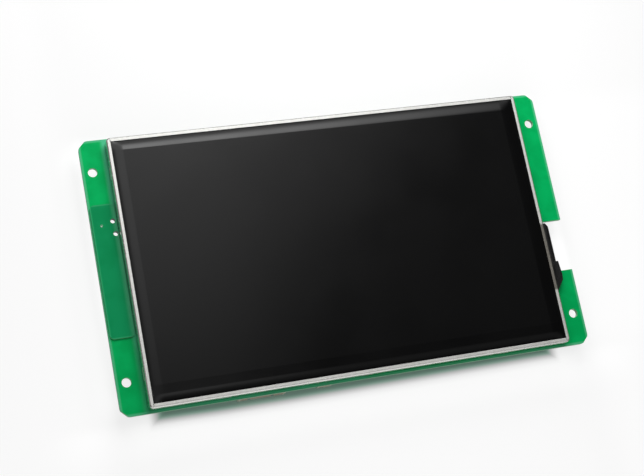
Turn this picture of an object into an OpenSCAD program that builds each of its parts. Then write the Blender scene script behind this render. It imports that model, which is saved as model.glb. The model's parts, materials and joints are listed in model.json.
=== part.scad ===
// Touch display module: a display in a folded steel bezel, taped to a green carrier board
// that carries its electronics on the back.
// +Z points out of the screen and +X to the side with the notch. z = 0 is the underside of
// the board, and the origin is the middle of the four mounting holes.

/* [Board] */
// Reach of the board past the bezel at the left and right
ear_w = 10; // [8.5:0.1:16]
// Reach of the board past the bezel at the top and bottom
edge_w = 1.1; // [0.5:0.1:8]
// Thickness of the board
board_t = 1.6; // [1:0.1:2.4]
// Corner radius of the board
corner_r = 3.8; // [3.7:0.1:5]
// Size of the slanted cut across each round corner
corner_cut = 2.75; // [2.45:0.1:3.45]
// Distance of the mounting holes from the left and right ends
hole_in_x = 3.9; // [3:0.1:5]
// Distance of the mounting holes from the top and bottom edges
hole_in_y = 12.4; // [6:0.1:20]
// Mounting hole diameter
hole_d = 3.5; // [2.5:0.1:4.5]
// Gap between the bezel and the bottom of the notch
notch_gap = 1.2; // [0.5:0.1:1.5]
// Reach of the notch above the flexible circuit
notch_above = 1.2; // [0.4:0.1:4]
// Reach of the notch below the flexible circuit
notch_below = 3.6; // [0.6:0.1:6]
// Corner radius at the bottom of the notch
notch_r = 1; // [0.5:0.1:2]

/* [Side board] */
// Length of the thin side board on the left ear
side_l = 50.6; // [30:0.1:60]
// Height of its middle over the middle of the board
side_y = 1.65; // [-4:0.05:6]
// Thickness of the side board
side_t = 0.6; // [0.3:0.1:1]
// Distance of the side board from the left end
side_in = 0.5; // [0.3:0.1:2]
// Gap between the side board and the bezel
side_gap = 0.2; // [0.1:0.05:0.5]
// Corner radius of the side board
side_r = 1.8; // [0.5:0.1:2.5]
// Diameter of the two plated wire holes
wire_hole_d = 1.8; // [0.8:0.1:2]
// Diameter of the small plated test hole
test_hole_d = 0.9; // [0.5:0.1:1.5]

/* [Bezel] */
// Outer width of the bezel
bezel_w = 165.6; // [150:0.1:190]
// Outer height of the bezel
bezel_h = 102; // [92:0.1:120]
// Thickness of the steel sheet
sheet_t = 0.4; // [0.2:0.05:0.5]
// Outside radius of the bend between wall and front flange
bend_r = 0.65; // [0.55:0.05:1]
// Reach of the front flange over the sides
lip_x = 1.5; // [1.4:0.05:2.2]
// Reach of the front flange over the top and bottom
lip_y = 1.55; // [1.3:0.05:2]
// Outside radius of the wall's corners
bezel_r = 1.5; // [1.2:0.1:2.5]
// Width of the butt seams in the flange
seam_w = 0.2; // [0.1:0.05:0.3]
// Gap between the wall's foot and the board
foot_gap = 0.15; // [0.05:0.05:0.3]
// Length of the snap windows in the walls
lock_len = 5; // [3:0.1:8]
// Height of the snap windows
lock_h = 1.2; // [0.8:0.1:1.6]
// Distance of the outer snap windows from the middle of the long walls
lock_x = 55; // [30:0.5:70]
// Distance of the snap windows from the middle of the short walls
lock_y = 38; // [36:0.5:44]

/* [Display layers] */
// Thickness of the double-sided tape under the display
tape_t = 0.35; // [0.2:0.05:1]
// Thickness of the steel back plate
plate_t = 0.3; // [0.2:0.05:0.5]
// Thickness of the reflector film
reflector_t = 0.1; // [0.08:0.01:0.25]
// Thickness of the light guide and the height of its diodes
guide_t = 0.6; // [0.4:0.05:1]
// Thickness of the diffuser film and the light strip
diffuser_t = 0.12; // [0.08:0.01:0.2]
// Thickness of each prism film
prism_t = 0.12; // [0.08:0.01:0.2]
// Air gap between the upper prism film and the rear polariser
film_air = 0.1; // [0.05:0.01:0.2]
// Thickness of each polariser
polariser_t = 0.2; // [0.1:0.01:0.3]
// Thickness of each sheet of display glass
glass_t = 0.5; // [0.3:0.05:0.7]
// Thickness of the gasket under the touch glass
gasket_t = 0.3; // [0.2:0.05:0.6]
// Thickness of the touch glass
touch_glass_t = 0.7; // [0.5:0.05:1.1]
// Thickness of the spacer frame and the touch tail
spacer_t = 0.1; // [0.08:0.01:0.2]
// Thickness of the touch film
film_t = 0.2; // [0.12:0.01:0.3]
// Height by which the middle of the touch film stands over its border
film_rise = 0.35; // [0.1:0.01:0.38]

/* [Display outlines] */
// Sliding clearance between bezel, frame and back plate
fit = 0.1; // [0.05:0.01:0.2]
// Clearance between the touch layers and the inside of the bezel's bend
touch_gap = 0.1; // [0.05:0.05:0.4]
// Wall of the moulded frame at the sides
frame_wall_x = 1.7; // [1.2:0.1:2]
// Wall of the moulded frame at the top and bottom
frame_wall_y = 1.3; // [1:0.1:1.5]
// Width of the shelf that carries the glass at the sides
shelf_x = 1.7; // [1.2:0.1:2]
// Width of the shelf at the top and bottom
shelf_y = 1.2; // [1:0.1:1.5]
// Clearance round the display glass and the films
cell_gap = 0.2; // [0.1:0.05:0.3]
// Bare ledge of the rear glass on the right
ledge = 3.6; // [3.2:0.1:4.5]
// Margin of the polarisers inside the front glass
polariser_margin = 0.6; // [0.3:0.05:1]
// Width of the gasket frame
gasket_wide = 5; // [4:0.1:6]
// Width of the spacer frame
spacer_wide = 3.5; // [3:0.1:4.5]
// Width of the touch film's sloping border at the sides
band_x = 4.55; // [3.5:0.05:6]
// Width of the touch film's sloping border at the top and bottom
band_y = 3.25; // [2.5:0.05:5]
// Sideways offset of the flat middle of the touch film
flat_x = -0.45; // [-1:0.05:1]
// Upward offset of the flat middle of the touch film
flat_y = -0.25; // [-1:0.05:1]
// Distance of the tape from the edge of the back plate
tape_in = 1; // [0.8:0.1:3]
// Width of the tape frame
tape_wide = 8; // [4:0.5:20]
// Number of light-emitting diodes
led_count = 20; // [10:1:24]
// Width of one diode
led_w = 3; // [2:0.1:3.4]
// Depth of one diode
led_d = 1; // [0.6:0.05:1.2]

/* [Flexible circuit] */
// Thickness of the flexible circuit
flex_t = 0.15; // [0.1:0.01:0.2]
// Height of the flexible circuit's upper edge over the middle of the board
flex_top = -2.7; // [-5:0.1:4]
// Width of the tail that folds through the notch
tail_w = 15.8; // [12:0.1:16.5]
// Width of the wing beside the tail
wing_w = 12.2; // [11:0.1:14]
// Reach of the fold past the bezel
fold_out = 3.4; // [2.8:0.1:4]
// Radius of the fold
fold_r = 2; // [1.5:0.1:2.4]
// Slanted cut on the upper corner of the fold
tail_cut = 1.9; // [0.5:0.1:2.5]
// Reach of the wing past the bezel
wing_out = 4.1; // [3:0.1:5]
// Length of the bond on the glass ledge
bond_len = 1.4; // [1:0.1:1.6]
// Distance of the plug from the fold
plug_in = 16.2; // [12:0.1:24]
// Width of the touch tail
touch_tail_w = 6; // [4:0.1:6.3]

/* [Board back] */
// Height of the electrolytic capacitors, on which the module rests
capacitor_h = 5.8; // [5:0.1:7.7]
// Diameter of the capacitor cans
capacitor_d = 6.3; // [4:0.1:8]
// Height of the buzzer
buzzer_h = 5.2; // [3:0.1:5.6]
// Diameter of the buzzer
buzzer_d = 12; // [9:0.1:14]
// Number of pins in the power and data header
header_pins_n = 8; // [4:1:10]
// Pin pitch of the power and data header
header_pitch = 2; // [2:0.1:2.54]
// Height of the power and data header
header_h = 5.2; // [4.6:0.1:5.6]
// Diameter of the coin cell
cell_d = 12.5; // [10:0.1:16]
// Thickness of the coin cell
cell_t = 2; // [1.2:0.1:2.5]
// Body size of the processor
processor_l = 14; // [12:0.5:16]
// Leads on each side of the processor
processor_leads_n = 25; // [16:1:25]

/* [Hidden] */
$fn = 48;
through = 1;

// Edges of the board
board_w = bezel_w + 2 * ear_w;
board_h = bezel_h + 2 * edge_w;
right = board_w / 2;
left = -right;
top = board_h / 2;
bottom = -top;
hole_span_x = board_w - 2 * hole_in_x;
hole_span_y = board_h - 2 * hole_in_y;

// Levels of the display's layers, from the board to the front
z_back = board_t + tape_t;
z_reflector = z_back + plate_t;
z_guide = z_reflector + reflector_t;
z_diffuser = z_guide + guide_t;
z_prism_low = z_diffuser + diffuser_t;
z_prism_up = z_prism_low + prism_t;
z_rear_polariser = z_prism_up + prism_t + film_air;
z_rear_glass = z_rear_polariser + polariser_t;
z_front_glass = z_rear_glass + glass_t;
z_front_polariser = z_front_glass + glass_t;
z_gasket = z_front_polariser + polariser_t;
z_touch_glass = z_gasket + gasket_t;
z_spacer = z_touch_glass + touch_glass_t;
z_film = z_spacer + spacer_t;
z_flange = z_film + film_t;
z_front = z_flange + sheet_t;
z_foot = board_t + foot_gap;
z_lock = (z_foot + z_front - bend_r) / 2;

// Outlines of the display's layers
window_w = bezel_w - 2 * lip_x;
window_h = bezel_h - 2 * lip_y;
inner_w = bezel_w - 2 * sheet_t;
inner_h = bezel_h - 2 * sheet_t;
frame_w = inner_w - 2 * fit;
frame_h = inner_h - 2 * fit;
frame_r = bezel_r - sheet_t - fit;
touch_w = inner_w - 2 * (bend_r - sheet_t + touch_gap);
touch_h = inner_h - 2 * (bend_r - sheet_t + touch_gap);
touch_r = bezel_r - sheet_t;
pocket_w = frame_w - 2 * frame_wall_x;
pocket_h = frame_h - 2 * frame_wall_y;
cell_w = pocket_w - 2 * cell_gap;
cell_h = pocket_h - 2 * cell_gap;
well_w = pocket_w - 2 * shelf_x;
well_h = pocket_h - 2 * shelf_y;
sheet_w = well_w - 2 * cell_gap;
sheet_h = well_h - 2 * cell_gap;
front_glass_right = cell_w / 2 - ledge;

// Shoulder of the touch film: share of the border's width, share of its rise
film_steps = [[0, 0], [0.35, 0.49], [0.7, 0.83], [1, 1]];

// Light guide, its diodes and the strip that carries them
led_gap = 0.1;
strip_lap = 0.8;
guide_right = sheet_w / 2 - led_d - 2 * strip_lap;
film_right = guide_right - strip_lap - cell_gap;
led_pitch = (sheet_h - led_w) / led_count;
guide_ear_len = 4;
guide_ear_out = 0.8;
guide_ear_x = 60;

// Driver chips on the ledge
driver_len = 24;
driver_wide = 1;
driver_t = 0.3;
driver_y = 26;
driver_gap = 0.5;

// Flexible circuit and its exit
exit_slack = 0.5;
flex_low = flex_top - tail_w - wing_w;
tail_low = flex_top - tail_w;
flex_start = cell_w / 2 - bond_len;
fold_x = bezel_w / 2 + fold_out;
wing_x = bezel_w / 2 + wing_out;
wing_cut = 4.5;
receptacle_h = 1;
plug_t = 0.5;
flex_z_top = z_front_glass + flex_t / 2;
flex_z_low = -receptacle_h - plug_t - flex_t / 2;
plug_x = fold_x - plug_in;
plug_y = flex_top - tail_w / 2;
plug_wide = 3.2;
plug_len = tail_w - 1.4;
tongue_wide = 1.4;
tongue_len = plug_len - 1.8;
tongue_t = 0.45;
mate_gap = 0.1;
receptacle_wide = 3.6;
receptacle_len = plug_len + 0.6;
contact_pitch = 0.6;
contact_out = 0.5;
stiffener_t = 0.2;
stiffener_wide = 5;

// Touch tail: bonded beside the film, then down in an S onto the wing
touch_tail_top = tail_low - 1.3;
touch_tail_start = touch_w / 2 - spacer_wide;
tail_z_top = z_spacer + spacer_t / 2;
tail_z_low = z_front_glass + flex_t + spacer_t / 2;
tail_bend = (tail_z_top - tail_z_low) / 2;
tail_drop_x = bezel_w / 2 + fit;
tail_end_x = wing_x - 0.4;

// Notch that lets the flexible circuit through to the back
notch_left = bezel_w / 2 + notch_gap;
notch_high = flex_top + notch_above;
notch_low = tail_low - notch_below;

// Outline of the side board and the plated holes that pass through it
side_left = left + side_in;
side_right = -bezel_w / 2 - side_gap;
side_top = side_y + side_l / 2;
wire_hole_x = side_right - wire_hole_d / 2;
wire_holes = [[wire_hole_x - 0.6, side_top - 6.7], [wire_hole_x - 0.2, side_top - 11.6]];
test_hole = [side_left + 3.5, side_top - 8.1];

// Places of the pieces on the back
processor_at = [10, 4];
memory_at = [38, 6];
flash_at = [10, -20];
crystal_at = [-10, -12];
regulators_at = [[left + 36.8, bottom + 32], [right - 44.8, bottom + 18]];
inductors_at = [[left + 22.8, bottom + 36], [right - 32.8, bottom + 24]];
diodes_at = [[left + 38.8, bottom + 21], [right - 30.8, bottom + 10]];
capacitors_at = [[left + 20.8, bottom + 16], [left + 30.8, bottom + 14], [right - 20.8, bottom + 16],
    [left + 18.8, top - 18], [right - 42.8, top - 14]];
buzzer_at = [right - 24.8, top - 18];
header_x = left + 52.8;
speaker_x = left + 76.8;
card_x = 4;
holder_at = [left + 54.8, top - 24];

// Rows of chip parts on the back: [x, y, count, step along X, step along Y]
chip_capacitor_rows = [
    [-1.5, 16, 8, 3, 0], [-1, -8.5, 5, 3, 0], [46.5, -3, 7, 0, 3], [29.5, -3, 6, 0, 3.4],
    [left + 42.8, bottom + 25, 3, 3, 0], [left + 26.8, bottom + 25, 3, 3, 0],
    [right - 38.3, bottom + 12, 3, 0, 3], [right - 30.8, top - 30, 4, 3, 0]];
chip_resistor_rows = [
    [-2.5, -4, 6, 0, 3], [22.5, -4, 6, 0, 3], [3, -27, 5, 3, 0], [-20, -34, 4, 3, 0],
    [left + 70.8, top - 18, 5, 0, 2.6], [left + 28.8, bottom + 44, 4, 3, 0],
    [right - 52.8, bottom + 24, 4, 3, 0], [plug_x - 12, -6, 4, 0, 3]];
chip_capacitor_size = [1.6, 0.8, 0.8];
chip_resistor_size = [1.6, 0.8, 0.45];

// Moulded chip packages: length along the leads, width and height
processor_h = 1.4;
processor_pitch = 0.5;
memory_size = [22.2, 10.2, 1];
memory_leads_n = 27;
memory_pitch = 0.8;
flash_size = [5, 5.3, 1.7];
regulator_size = [4.9, 3.9, 1.5];
small_leads_n = 4;
small_pitch = 1.27;
diode_size = [4.3, 2.6, 2.1];
diode_tab = [1.4, 1.5];
chip_standoff = 0.1;
chip_draft = 0.12;
lead_t = 0.15;
lead_out = 1;

// Outline with round corners, made of true arcs
module rounded_rect(w, h, r) {
    square([w - 2 * r, h], center = true);
    square([w, h - 2 * r], center = true);
    for (sx = [-1, 1], sy = [-1, 1])
        translate([sx * (w / 2 - r), sy * (h / 2 - r)]) circle(r);
}

// Outline with round corners that a slanted cut flattens
module cut_rect(w, h, r, cut) {
    d = w / 2 + h / 2 - cut;
    intersection() {
        rounded_rect(w, h, r);
        polygon([[d, 0], [0, d], [-d, 0], [0, -d]]);
    }
}

// Flat layer with its lower face at z
module layer(w, h, t, z, x = 0) {
    translate([x - w / 2, -h / 2, z]) cube([w, h, t]);
}

// Flat frame: a layer with a window
module ring_layer(w, h, t, z, wide) {
    difference() {
        layer(w, h, t, z);
        layer(w - 2 * wide, h - 2 * wide, t + 2 * through, z - through);
    }
}

// Puts children on the underside of the board, their +z pointing away from it
module below(at, turn = 0) {
    translate([at.x, at.y, 0]) rotate([180, 0, turn]) children();
}

// Extrudes a section in X and Z along Y, from y_low to y_high
module along_y(y_low, y_high) {
    translate([0, y_high, 0]) rotate([90, 0, 0]) linear_extrude(y_high - y_low) children();
}

// Quarter of a ring about c, in the quadrant given by the signs q
module quarter_ring(c, r, t, q) {
    translate(c) intersection() {
        difference() {
            circle(r + t / 2);
            circle(r - t / 2);
        }
        translate([q.x > 0 ? 0 : -r - t, q.y > 0 ? 0 : -r - t]) square(r + t);
    }
}

// Plated holes that pass through the left ear and the side board
module plated_holes(low, high) {
    for (p = wire_holes)
        translate([p.x, p.y, low]) cylinder(d = wire_hole_d, h = high - low);
    translate([test_hole.x, test_hole.y, low]) cylinder(d = test_hole_d, h = high - low);
}

module main_board() {
    color("seagreen") difference() {
        linear_extrude(board_t) difference() {
            cut_rect(board_w, board_h, corner_r, corner_cut);
            translate([right, (notch_high + notch_low) / 2])
                rounded_rect(2 * (right - notch_left), notch_high - notch_low, notch_r);
        }
        for (sx = [-1, 1], sy = [-1, 1])
            translate([sx * hole_span_x / 2, sy * hole_span_y / 2, -through])
                cylinder(d = hole_d, h = board_t + 2 * through);
        plated_holes(-through, board_t + through);
    }
}

// Thin board bonded on the left ear, beside the bezel
module side_board() {
    w = side_right - side_left;
    color("darkgreen") difference() {
        translate([side_left + w / 2, side_y, board_t]) linear_extrude(side_t)
            rounded_rect(w, side_l, min(side_r, w / 2 - fit));
        plated_holes(board_t - through, board_t + side_t + through);
    }
}

// Wall and bend of the bezel, with x = 0 on the wall's outer face
module bezel_section() {
    translate([-sheet_t, z_foot]) square([sheet_t, z_front - bend_r - z_foot]);
    quarter_ring([-bend_r, z_front - bend_r], bend_r - sheet_t / 2, sheet_t, [1, 1]);
}

module bezel_side(len, reach) {
    translate([reach, 0, 0]) along_y(-len / 2, len / 2) bezel_section();
}

// Windows for the snap bosses, or the bosses themselves with a smaller len and h
module lock_blocks(len, h, depth, w, hh) {
    for (s = [-1, 1]) {
        for (x = [-lock_x, 0, lock_x])
            translate([x, s * (hh / 2 - depth / 2), z_lock]) cube([len, depth, h], center = true);
        for (y = [-lock_y, lock_y])
            translate([s * (w / 2 - depth / 2), y, z_lock]) cube([depth, len, h], center = true);
    }
}

module front_bezel() {
    color("gainsboro") difference() {
        union() {
            for (turn = [0, 180])
                rotate(turn) bezel_side(bezel_h - 2 * bezel_r, bezel_w / 2);
            for (turn = [90, 270])
                rotate(turn) bezel_side(bezel_w - 2 * bezel_r, bezel_h / 2);
            for (i = [0:3])
                translate([
                    (i == 0 || i == 3 ? 1 : -1) * (bezel_w / 2 - bezel_r),
                    (i < 2 ? 1 : -1) * (bezel_h / 2 - bezel_r), 0])
                    rotate(90 * i) rotate_extrude(angle = 90) translate([bezel_r, 0]) bezel_section();
            translate([0, 0, z_flange]) linear_extrude(sheet_t) difference() {
                rounded_rect(bezel_w - 2 * bend_r, bezel_h - 2 * bend_r, bezel_r - bend_r);
                square([window_w, window_h], center = true);
            }
        }
        lock_blocks(lock_len, lock_h, 3 * sheet_t, bezel_w + 2 * sheet_t, bezel_h + 2 * sheet_t);
        for (sx = [-1, 1], sy = [-1, 1])
            translate([sx * window_w / 2, sy * (window_h / 2 + lip_y / 2 - bend_r / 2), z_front])
                cube([seam_w, lip_y - bend_r, 4 * sheet_t], center = true);
        translate([bezel_w / 2 - 2 * sheet_t, flex_low - exit_slack, z_front_glass - exit_slack])
            cube([4 * sheet_t, tail_w + wing_w + 2 * exit_slack, z_film - z_front_glass + exit_slack]);
    }
}

// Lifts the middle of the touch film over its border, which falls to the steel in a soft shoulder
module film_dome(w, h, z) {
    hull() for (s = film_steps)
        translate([s.x * flat_x, s.x * flat_y, 0])
            layer(w - 2 * s.x * band_x, h - 2 * s.x * band_y, film_air, z + s.y * film_rise - film_air);
}

module touch_film() {
    color([0.05, 0.05, 0.055]) difference() {
        union() {
            translate([0, 0, z_film]) linear_extrude(film_t) rounded_rect(touch_w, touch_h, touch_r);
            film_dome(window_w - 2 * fit, window_h - 2 * fit, z_flange);
        }
        film_dome(window_w - 2 * fit, window_h - 2 * fit, z_film);
    }
}

module touch_spacer() {
    color("dimgray") difference() {
        ring_layer(touch_w, touch_h, spacer_t, z_spacer, spacer_wide);
        translate([touch_tail_start - through, touch_tail_top - touch_tail_w - fit, z_spacer - through])
            cube([spacer_wide + 2 * through, touch_tail_w + 2 * fit, spacer_t + 2 * through]);
    }
}

module touch_glass() {
    color([0.2, 0.24, 0.24]) translate([0, 0, z_touch_glass])
        linear_extrude(touch_glass_t) rounded_rect(touch_w, touch_h, touch_r);
}

module touch_tail() {
    color("black") along_y(touch_tail_top - touch_tail_w, touch_tail_top) {
        translate([touch_tail_start, tail_z_top - spacer_t / 2])
            square([tail_drop_x - touch_tail_start, spacer_t]);
        quarter_ring([tail_drop_x, tail_z_top - tail_bend], tail_bend, spacer_t, [1, 1]);
        quarter_ring([tail_drop_x + 2 * tail_bend, tail_z_low + tail_bend], tail_bend, spacer_t, [-1, -1]);
        translate([tail_drop_x + 2 * tail_bend, tail_z_low - spacer_t / 2])
            square([tail_end_x - tail_drop_x - 2 * tail_bend, spacer_t]);
    }
}

module screen_gasket() {
    color([0.08, 0.08, 0.08]) ring_layer(touch_w, touch_h, gasket_t, z_gasket, gasket_wide);
}

module front_polariser() {
    w = cell_w - ledge - 2 * polariser_margin;
    color([0.06, 0.06, 0.07])
        layer(w, cell_h - 2 * polariser_margin, polariser_t, z_front_polariser, -ledge / 2);
}

module front_glass() {
    color([0.25, 0.3, 0.3]) layer(cell_w - ledge, cell_h, glass_t, z_front_glass, -ledge / 2);
}

module rear_glass() {
    color([0.3, 0.35, 0.35]) layer(cell_w, cell_h, glass_t, z_rear_glass);
}

module rear_polariser() {
    end = front_glass_right - polariser_margin;
    w = end + sheet_w / 2;
    color([0.12, 0.12, 0.13]) layer(w, sheet_h, polariser_t, z_rear_polariser, end - w / 2);
}

module driver_chips() {
    color([0.35, 0.36, 0.4]) for (s = [-1, 1])
        translate([front_glass_right + driver_gap, s * driver_y - driver_len / 2, z_front_glass])
            cube([driver_wide, driver_len, driver_t]);
}

// Section of the flexible circuit: out over the ledge, round the fold and back under the board
module flex_section() {
    x_arc = fold_x - fold_r;
    translate([flex_start, flex_z_top - flex_t / 2]) square([x_arc - flex_start, flex_t]);
    quarter_ring([x_arc, flex_z_top - fold_r], fold_r, flex_t, [1, 1]);
    translate([fold_x - flex_t / 2, flex_z_low + fold_r])
        square([flex_t, flex_z_top - flex_z_low - 2 * fold_r]);
    quarter_ring([x_arc, flex_z_low + fold_r], fold_r, flex_t, [1, -1]);
    translate([plug_x - stiffener_wide / 2, flex_z_low - flex_t / 2])
        square([x_arc - plug_x + stiffener_wide / 2, flex_t]);
}

module lcd_flex() {
    color([0.07, 0.07, 0.075]) {
        difference() {
            along_y(tail_low, flex_top) flex_section();
            translate([fold_x + flex_t / 2, flex_top, flex_z_low - through])
                linear_extrude(flex_z_top - flex_z_low + 2 * through)
                    polygon([[-tail_cut, 0], [-tail_cut, through], [through, through], [through, -tail_cut], [0, -tail_cut]]);
        }
        translate([0, 0, z_front_glass]) linear_extrude(flex_t) polygon([
            [flex_start, tail_low],
            [flex_start, flex_low],
            [bezel_w / 2 + exit_slack, flex_low],
            [wing_x - exit_slack / 2, flex_low + wing_cut],
            [wing_x, flex_low + wing_cut + wing_cut / 2],
            [wing_x - exit_slack, tail_low]]);
    }
}

module moulded_frame() {
    color("whitesmoke") {
        difference() {
            translate([0, 0, z_reflector]) linear_extrude(z_gasket - z_reflector)
                rounded_rect(frame_w, frame_h, frame_r);
            layer(pocket_w, pocket_h, z_gasket, z_rear_glass);
            layer(well_w, well_h, z_gasket, z_reflector - through);
            for (s = [-1, 1])
                translate([guide_ear_x, s * well_h / 2, z_rear_glass / 2])
                    cube([guide_ear_len + 2 * cell_gap, 2 * (guide_ear_out + cell_gap), z_rear_glass],
                        center = true);
            translate([pocket_w / 2 - through, flex_low - exit_slack, z_front_glass - exit_slack])
                cube([frame_wall_x + 2 * through, tail_w + wing_w + 2 * exit_slack, z_gasket]);
        }
        lock_blocks(lock_len - 2 * fit, lock_h - 2 * fit, 2 * sheet_t, bezel_w - fit, bezel_h - fit);
    }
}

// Optical film over the light guide
module optical_film(t, z) {
    w = film_right + sheet_w / 2;
    layer(w, sheet_h, t, z, film_right - w / 2);
}

module upper_prism_film() {
    color("aliceblue") optical_film(prism_t, z_prism_up);
}

module lower_prism_film() {
    color("lavender") optical_film(prism_t, z_prism_low);
}

module diffuser_film() {
    color("white") optical_film(diffuser_t, z_diffuser);
}

module light_guide() {
    w = guide_right + sheet_w / 2;
    color("azure") {
        layer(w, sheet_h, guide_t, z_guide, guide_right - w / 2);
        for (s = [-1, 1])
            translate([guide_ear_x, s * well_h / 2, z_guide + guide_t / 2])
                cube([guide_ear_len, 2 * guide_ear_out, guide_t], center = true);
    }
}

module reflector_film() {
    color("white") layer(sheet_w, sheet_h, reflector_t, z_reflector);
}

module light_strip() {
    start = guide_right - strip_lap;
    w = sheet_w / 2 - start;
    color("goldenrod") layer(w, sheet_h, diffuser_t, z_diffuser, start + w / 2);
}

module light_diodes() {
    color("lightyellow") for (i = [0:led_count - 1])
        translate([guide_right + led_gap, (i - (led_count - 1) / 2) * led_pitch - led_w / 2, z_guide])
            cube([led_d, led_w, guide_t]);
}

module back_plate() {
    color("lightgray") translate([0, 0, z_back])
        linear_extrude(plate_t) rounded_rect(frame_w, frame_h, frame_r);
}

module mounting_tape() {
    color("white") ring_layer(frame_w - 2 * tape_in, frame_h - 2 * tape_in, tape_t, board_t, tape_wide);
}

module flex_plug() {
    color([0.15, 0.15, 0.16]) below([plug_x, plug_y]) {
        translate([-plug_wide / 2, -plug_len / 2, receptacle_h]) cube([plug_wide, plug_len, plug_t]);
        translate([-tongue_wide / 2, -tongue_len / 2, receptacle_h - tongue_t])
            cube([tongue_wide, tongue_len, tongue_t]);
    }
}

module flex_stiffener() {
    color("darkgoldenrod") below([plug_x, plug_y])
        translate([-stiffener_wide / 2, -tail_w / 2, -flex_z_low + flex_t / 2])
            cube([stiffener_wide, tail_w, stiffener_t]);
}

module flex_receptacle() {
    slot_w = tongue_wide + 2 * mate_gap;
    slot_l = tongue_len + 2 * mate_gap;
    color([0.2, 0.2, 0.21]) below([plug_x, plug_y]) difference() {
        translate([-receptacle_wide / 2, -receptacle_len / 2, 0])
            cube([receptacle_wide, receptacle_len, receptacle_h]);
        translate([-slot_w / 2, -slot_l / 2, receptacle_h - tongue_t - mate_gap])
            cube([slot_w, slot_l, receptacle_h]);
    }
}

module receptacle_contacts() {
    n = floor(tongue_len / contact_pitch);
    color("gold") below([plug_x, plug_y]) for (s = [-1, 1], i = [0:n - 1])
        translate([s * (receptacle_wide + contact_out) / 2, (i - (n - 1) / 2) * contact_pitch, lead_t / 2])
            cube([contact_out, contact_pitch / 2, lead_t], center = true);
}

// Moulded package body with drafted sides, standing on its standoff
module chip_body(l, w, h) {
    translate([0, 0, chip_standoff]) hull() {
        layer(l, w, h / 10, h * 0.45);
        layer(l - 2 * chip_draft, w - 2 * chip_draft, h, 0);
    }
}

// Row of gull-wing leads along the side at x = reach
module lead_row(reach, n, pitch, wide, z_mid) {
    for (i = [0:n - 1])
        translate([reach, 0, 0])
            along_y((i - (n - 1) / 2) * pitch - wide / 2, (i - (n - 1) / 2) * pitch + wide / 2)
                polygon([
                    [0, z_mid - lead_t / 2], [0, z_mid + lead_t / 2],
                    [0.3 * lead_out, z_mid + lead_t / 2], [0.6 * lead_out, lead_t],
                    [lead_out, lead_t], [lead_out, 0],
                    [0.45 * lead_out, 0], [0.2 * lead_out, z_mid - lead_t / 2]]);
}

// Package with its length along Y and its leads on the given sides
module leaded_chip(size, n, pitch, turns) {
    z_mid = chip_standoff + size.z / 2;
    color([0.11, 0.11, 0.12]) chip_body(size.y, size.x, size.z);
    color("silver") for (turn = turns)
        rotate(turn) lead_row((turn % 180 == 0 ? size.y : size.x) / 2, n, pitch, pitch / 2, z_mid);
}

module processor() {
    size = [processor_l, processor_l, processor_h];
    below(processor_at) leaded_chip(size, processor_leads_n, processor_pitch, [0, 90, 180, 270]);
}

module memory_chip() {
    below(memory_at) leaded_chip(memory_size, memory_leads_n, memory_pitch, [0, 180]);
}

module flash_chip() {
    below(flash_at) leaded_chip(flash_size, small_leads_n, small_pitch, [0, 180]);
}

module regulators() {
    for (at = regulators_at)
        below(at) leaded_chip(regulator_size, small_leads_n, small_pitch, [0, 180]);
}

crystal_l = 10.6;
crystal_w = 3.8;
crystal_h = 3.2;
crystal_base_t = 0.8;
crystal_base_out = 0.5;

module crystal() {
    out = 2 * crystal_base_out;
    below(crystal_at) {
        color("black") layer(crystal_l + out, crystal_w + out, crystal_base_t, 0);
        color("silver") translate([0, 0, crystal_base_t]) linear_extrude(crystal_h)
            rounded_rect(crystal_l, crystal_w, crystal_w / 2 - fit);
    }
}

inductor_l = 7.2;
inductor_h = 4;
inductor_core_d = 5.6;
inductor_ring = 0.3;
inductor_r = 1.2;

module power_inductors() {
    color([0.2, 0.2, 0.2]) for (at = inductors_at)
        below(at) difference() {
            linear_extrude(inductor_h) rounded_rect(inductor_l, inductor_l, inductor_r);
            translate([0, 0, inductor_h / 4])
                cylinder(d = inductor_core_d + 2 * inductor_ring, h = inductor_h);
        }
}

module inductor_cores() {
    color([0.3, 0.28, 0.27]) for (at = inductors_at)
        below(at) translate([0, 0, inductor_h / 4])
            cylinder(d = inductor_core_d, h = 0.75 * inductor_h - fit);
}

module rectifier_diodes() {
    for (at = diodes_at)
        below(at) {
            color([0.12, 0.12, 0.12]) chip_body(diode_size.x, diode_size.y, diode_size.z);
            color("silver") for (s = [-1, 1])
                translate([s * diode_size.x / 2, 0, lead_t / 2])
                    cube([diode_tab.x, diode_tab.y, lead_t], center = true);
        }
}

module chip_rows(rows, size) {
    for (row = rows, i = [0:row[2] - 1])
        below([row[0] + i * row[3], row[1] + i * row[4]])
            translate([0, 0, size.z / 2]) cube(row[3] > 0 ? [size.y, size.x, size.z] : size, center = true);
}

module chip_capacitors() {
    color("tan") chip_rows(chip_capacitor_rows, chip_capacitor_size);
}

module chip_resistors() {
    color([0.1, 0.1, 0.1]) chip_rows(chip_resistor_rows, chip_resistor_size);
}

capacitor_base_t = 0.9;
capacitor_base_out = 0.15;
capacitor_base_l = capacitor_d + 2 * capacitor_base_out;
capacitor_chamfer = 1.3;

module capacitor_bases() {
    b = capacitor_base_l / 2;
    c = capacitor_chamfer;
    color([0.13, 0.13, 0.13]) for (at = capacitors_at)
        below(at) linear_extrude(capacitor_base_t)
            polygon([[-b, -b], [b - c, -b], [b, c - b], [b, b - c], [b - c, b], [-b, b]]);
}

// Drawn can with its rolled groove near the base and a rounded rim
module capacitor_cans() {
    r = capacitor_d / 2;
    rim = 0.5;
    h = capacitor_h - capacitor_base_t;
    groove_z = 1.1;
    groove_r = 0.35;
    color("silver") for (at = capacitors_at)
        below(at) translate([0, 0, capacitor_base_t]) rotate_extrude() difference() {
            union() {
                square([r, h - rim]);
                square([r - rim, h]);
                translate([r - rim, h - rim]) circle(rim);
            }
            translate([r + groove_r / 2, groove_z]) circle(groove_r);
            translate([-r, 0]) square([r, h]);
        }
}

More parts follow.
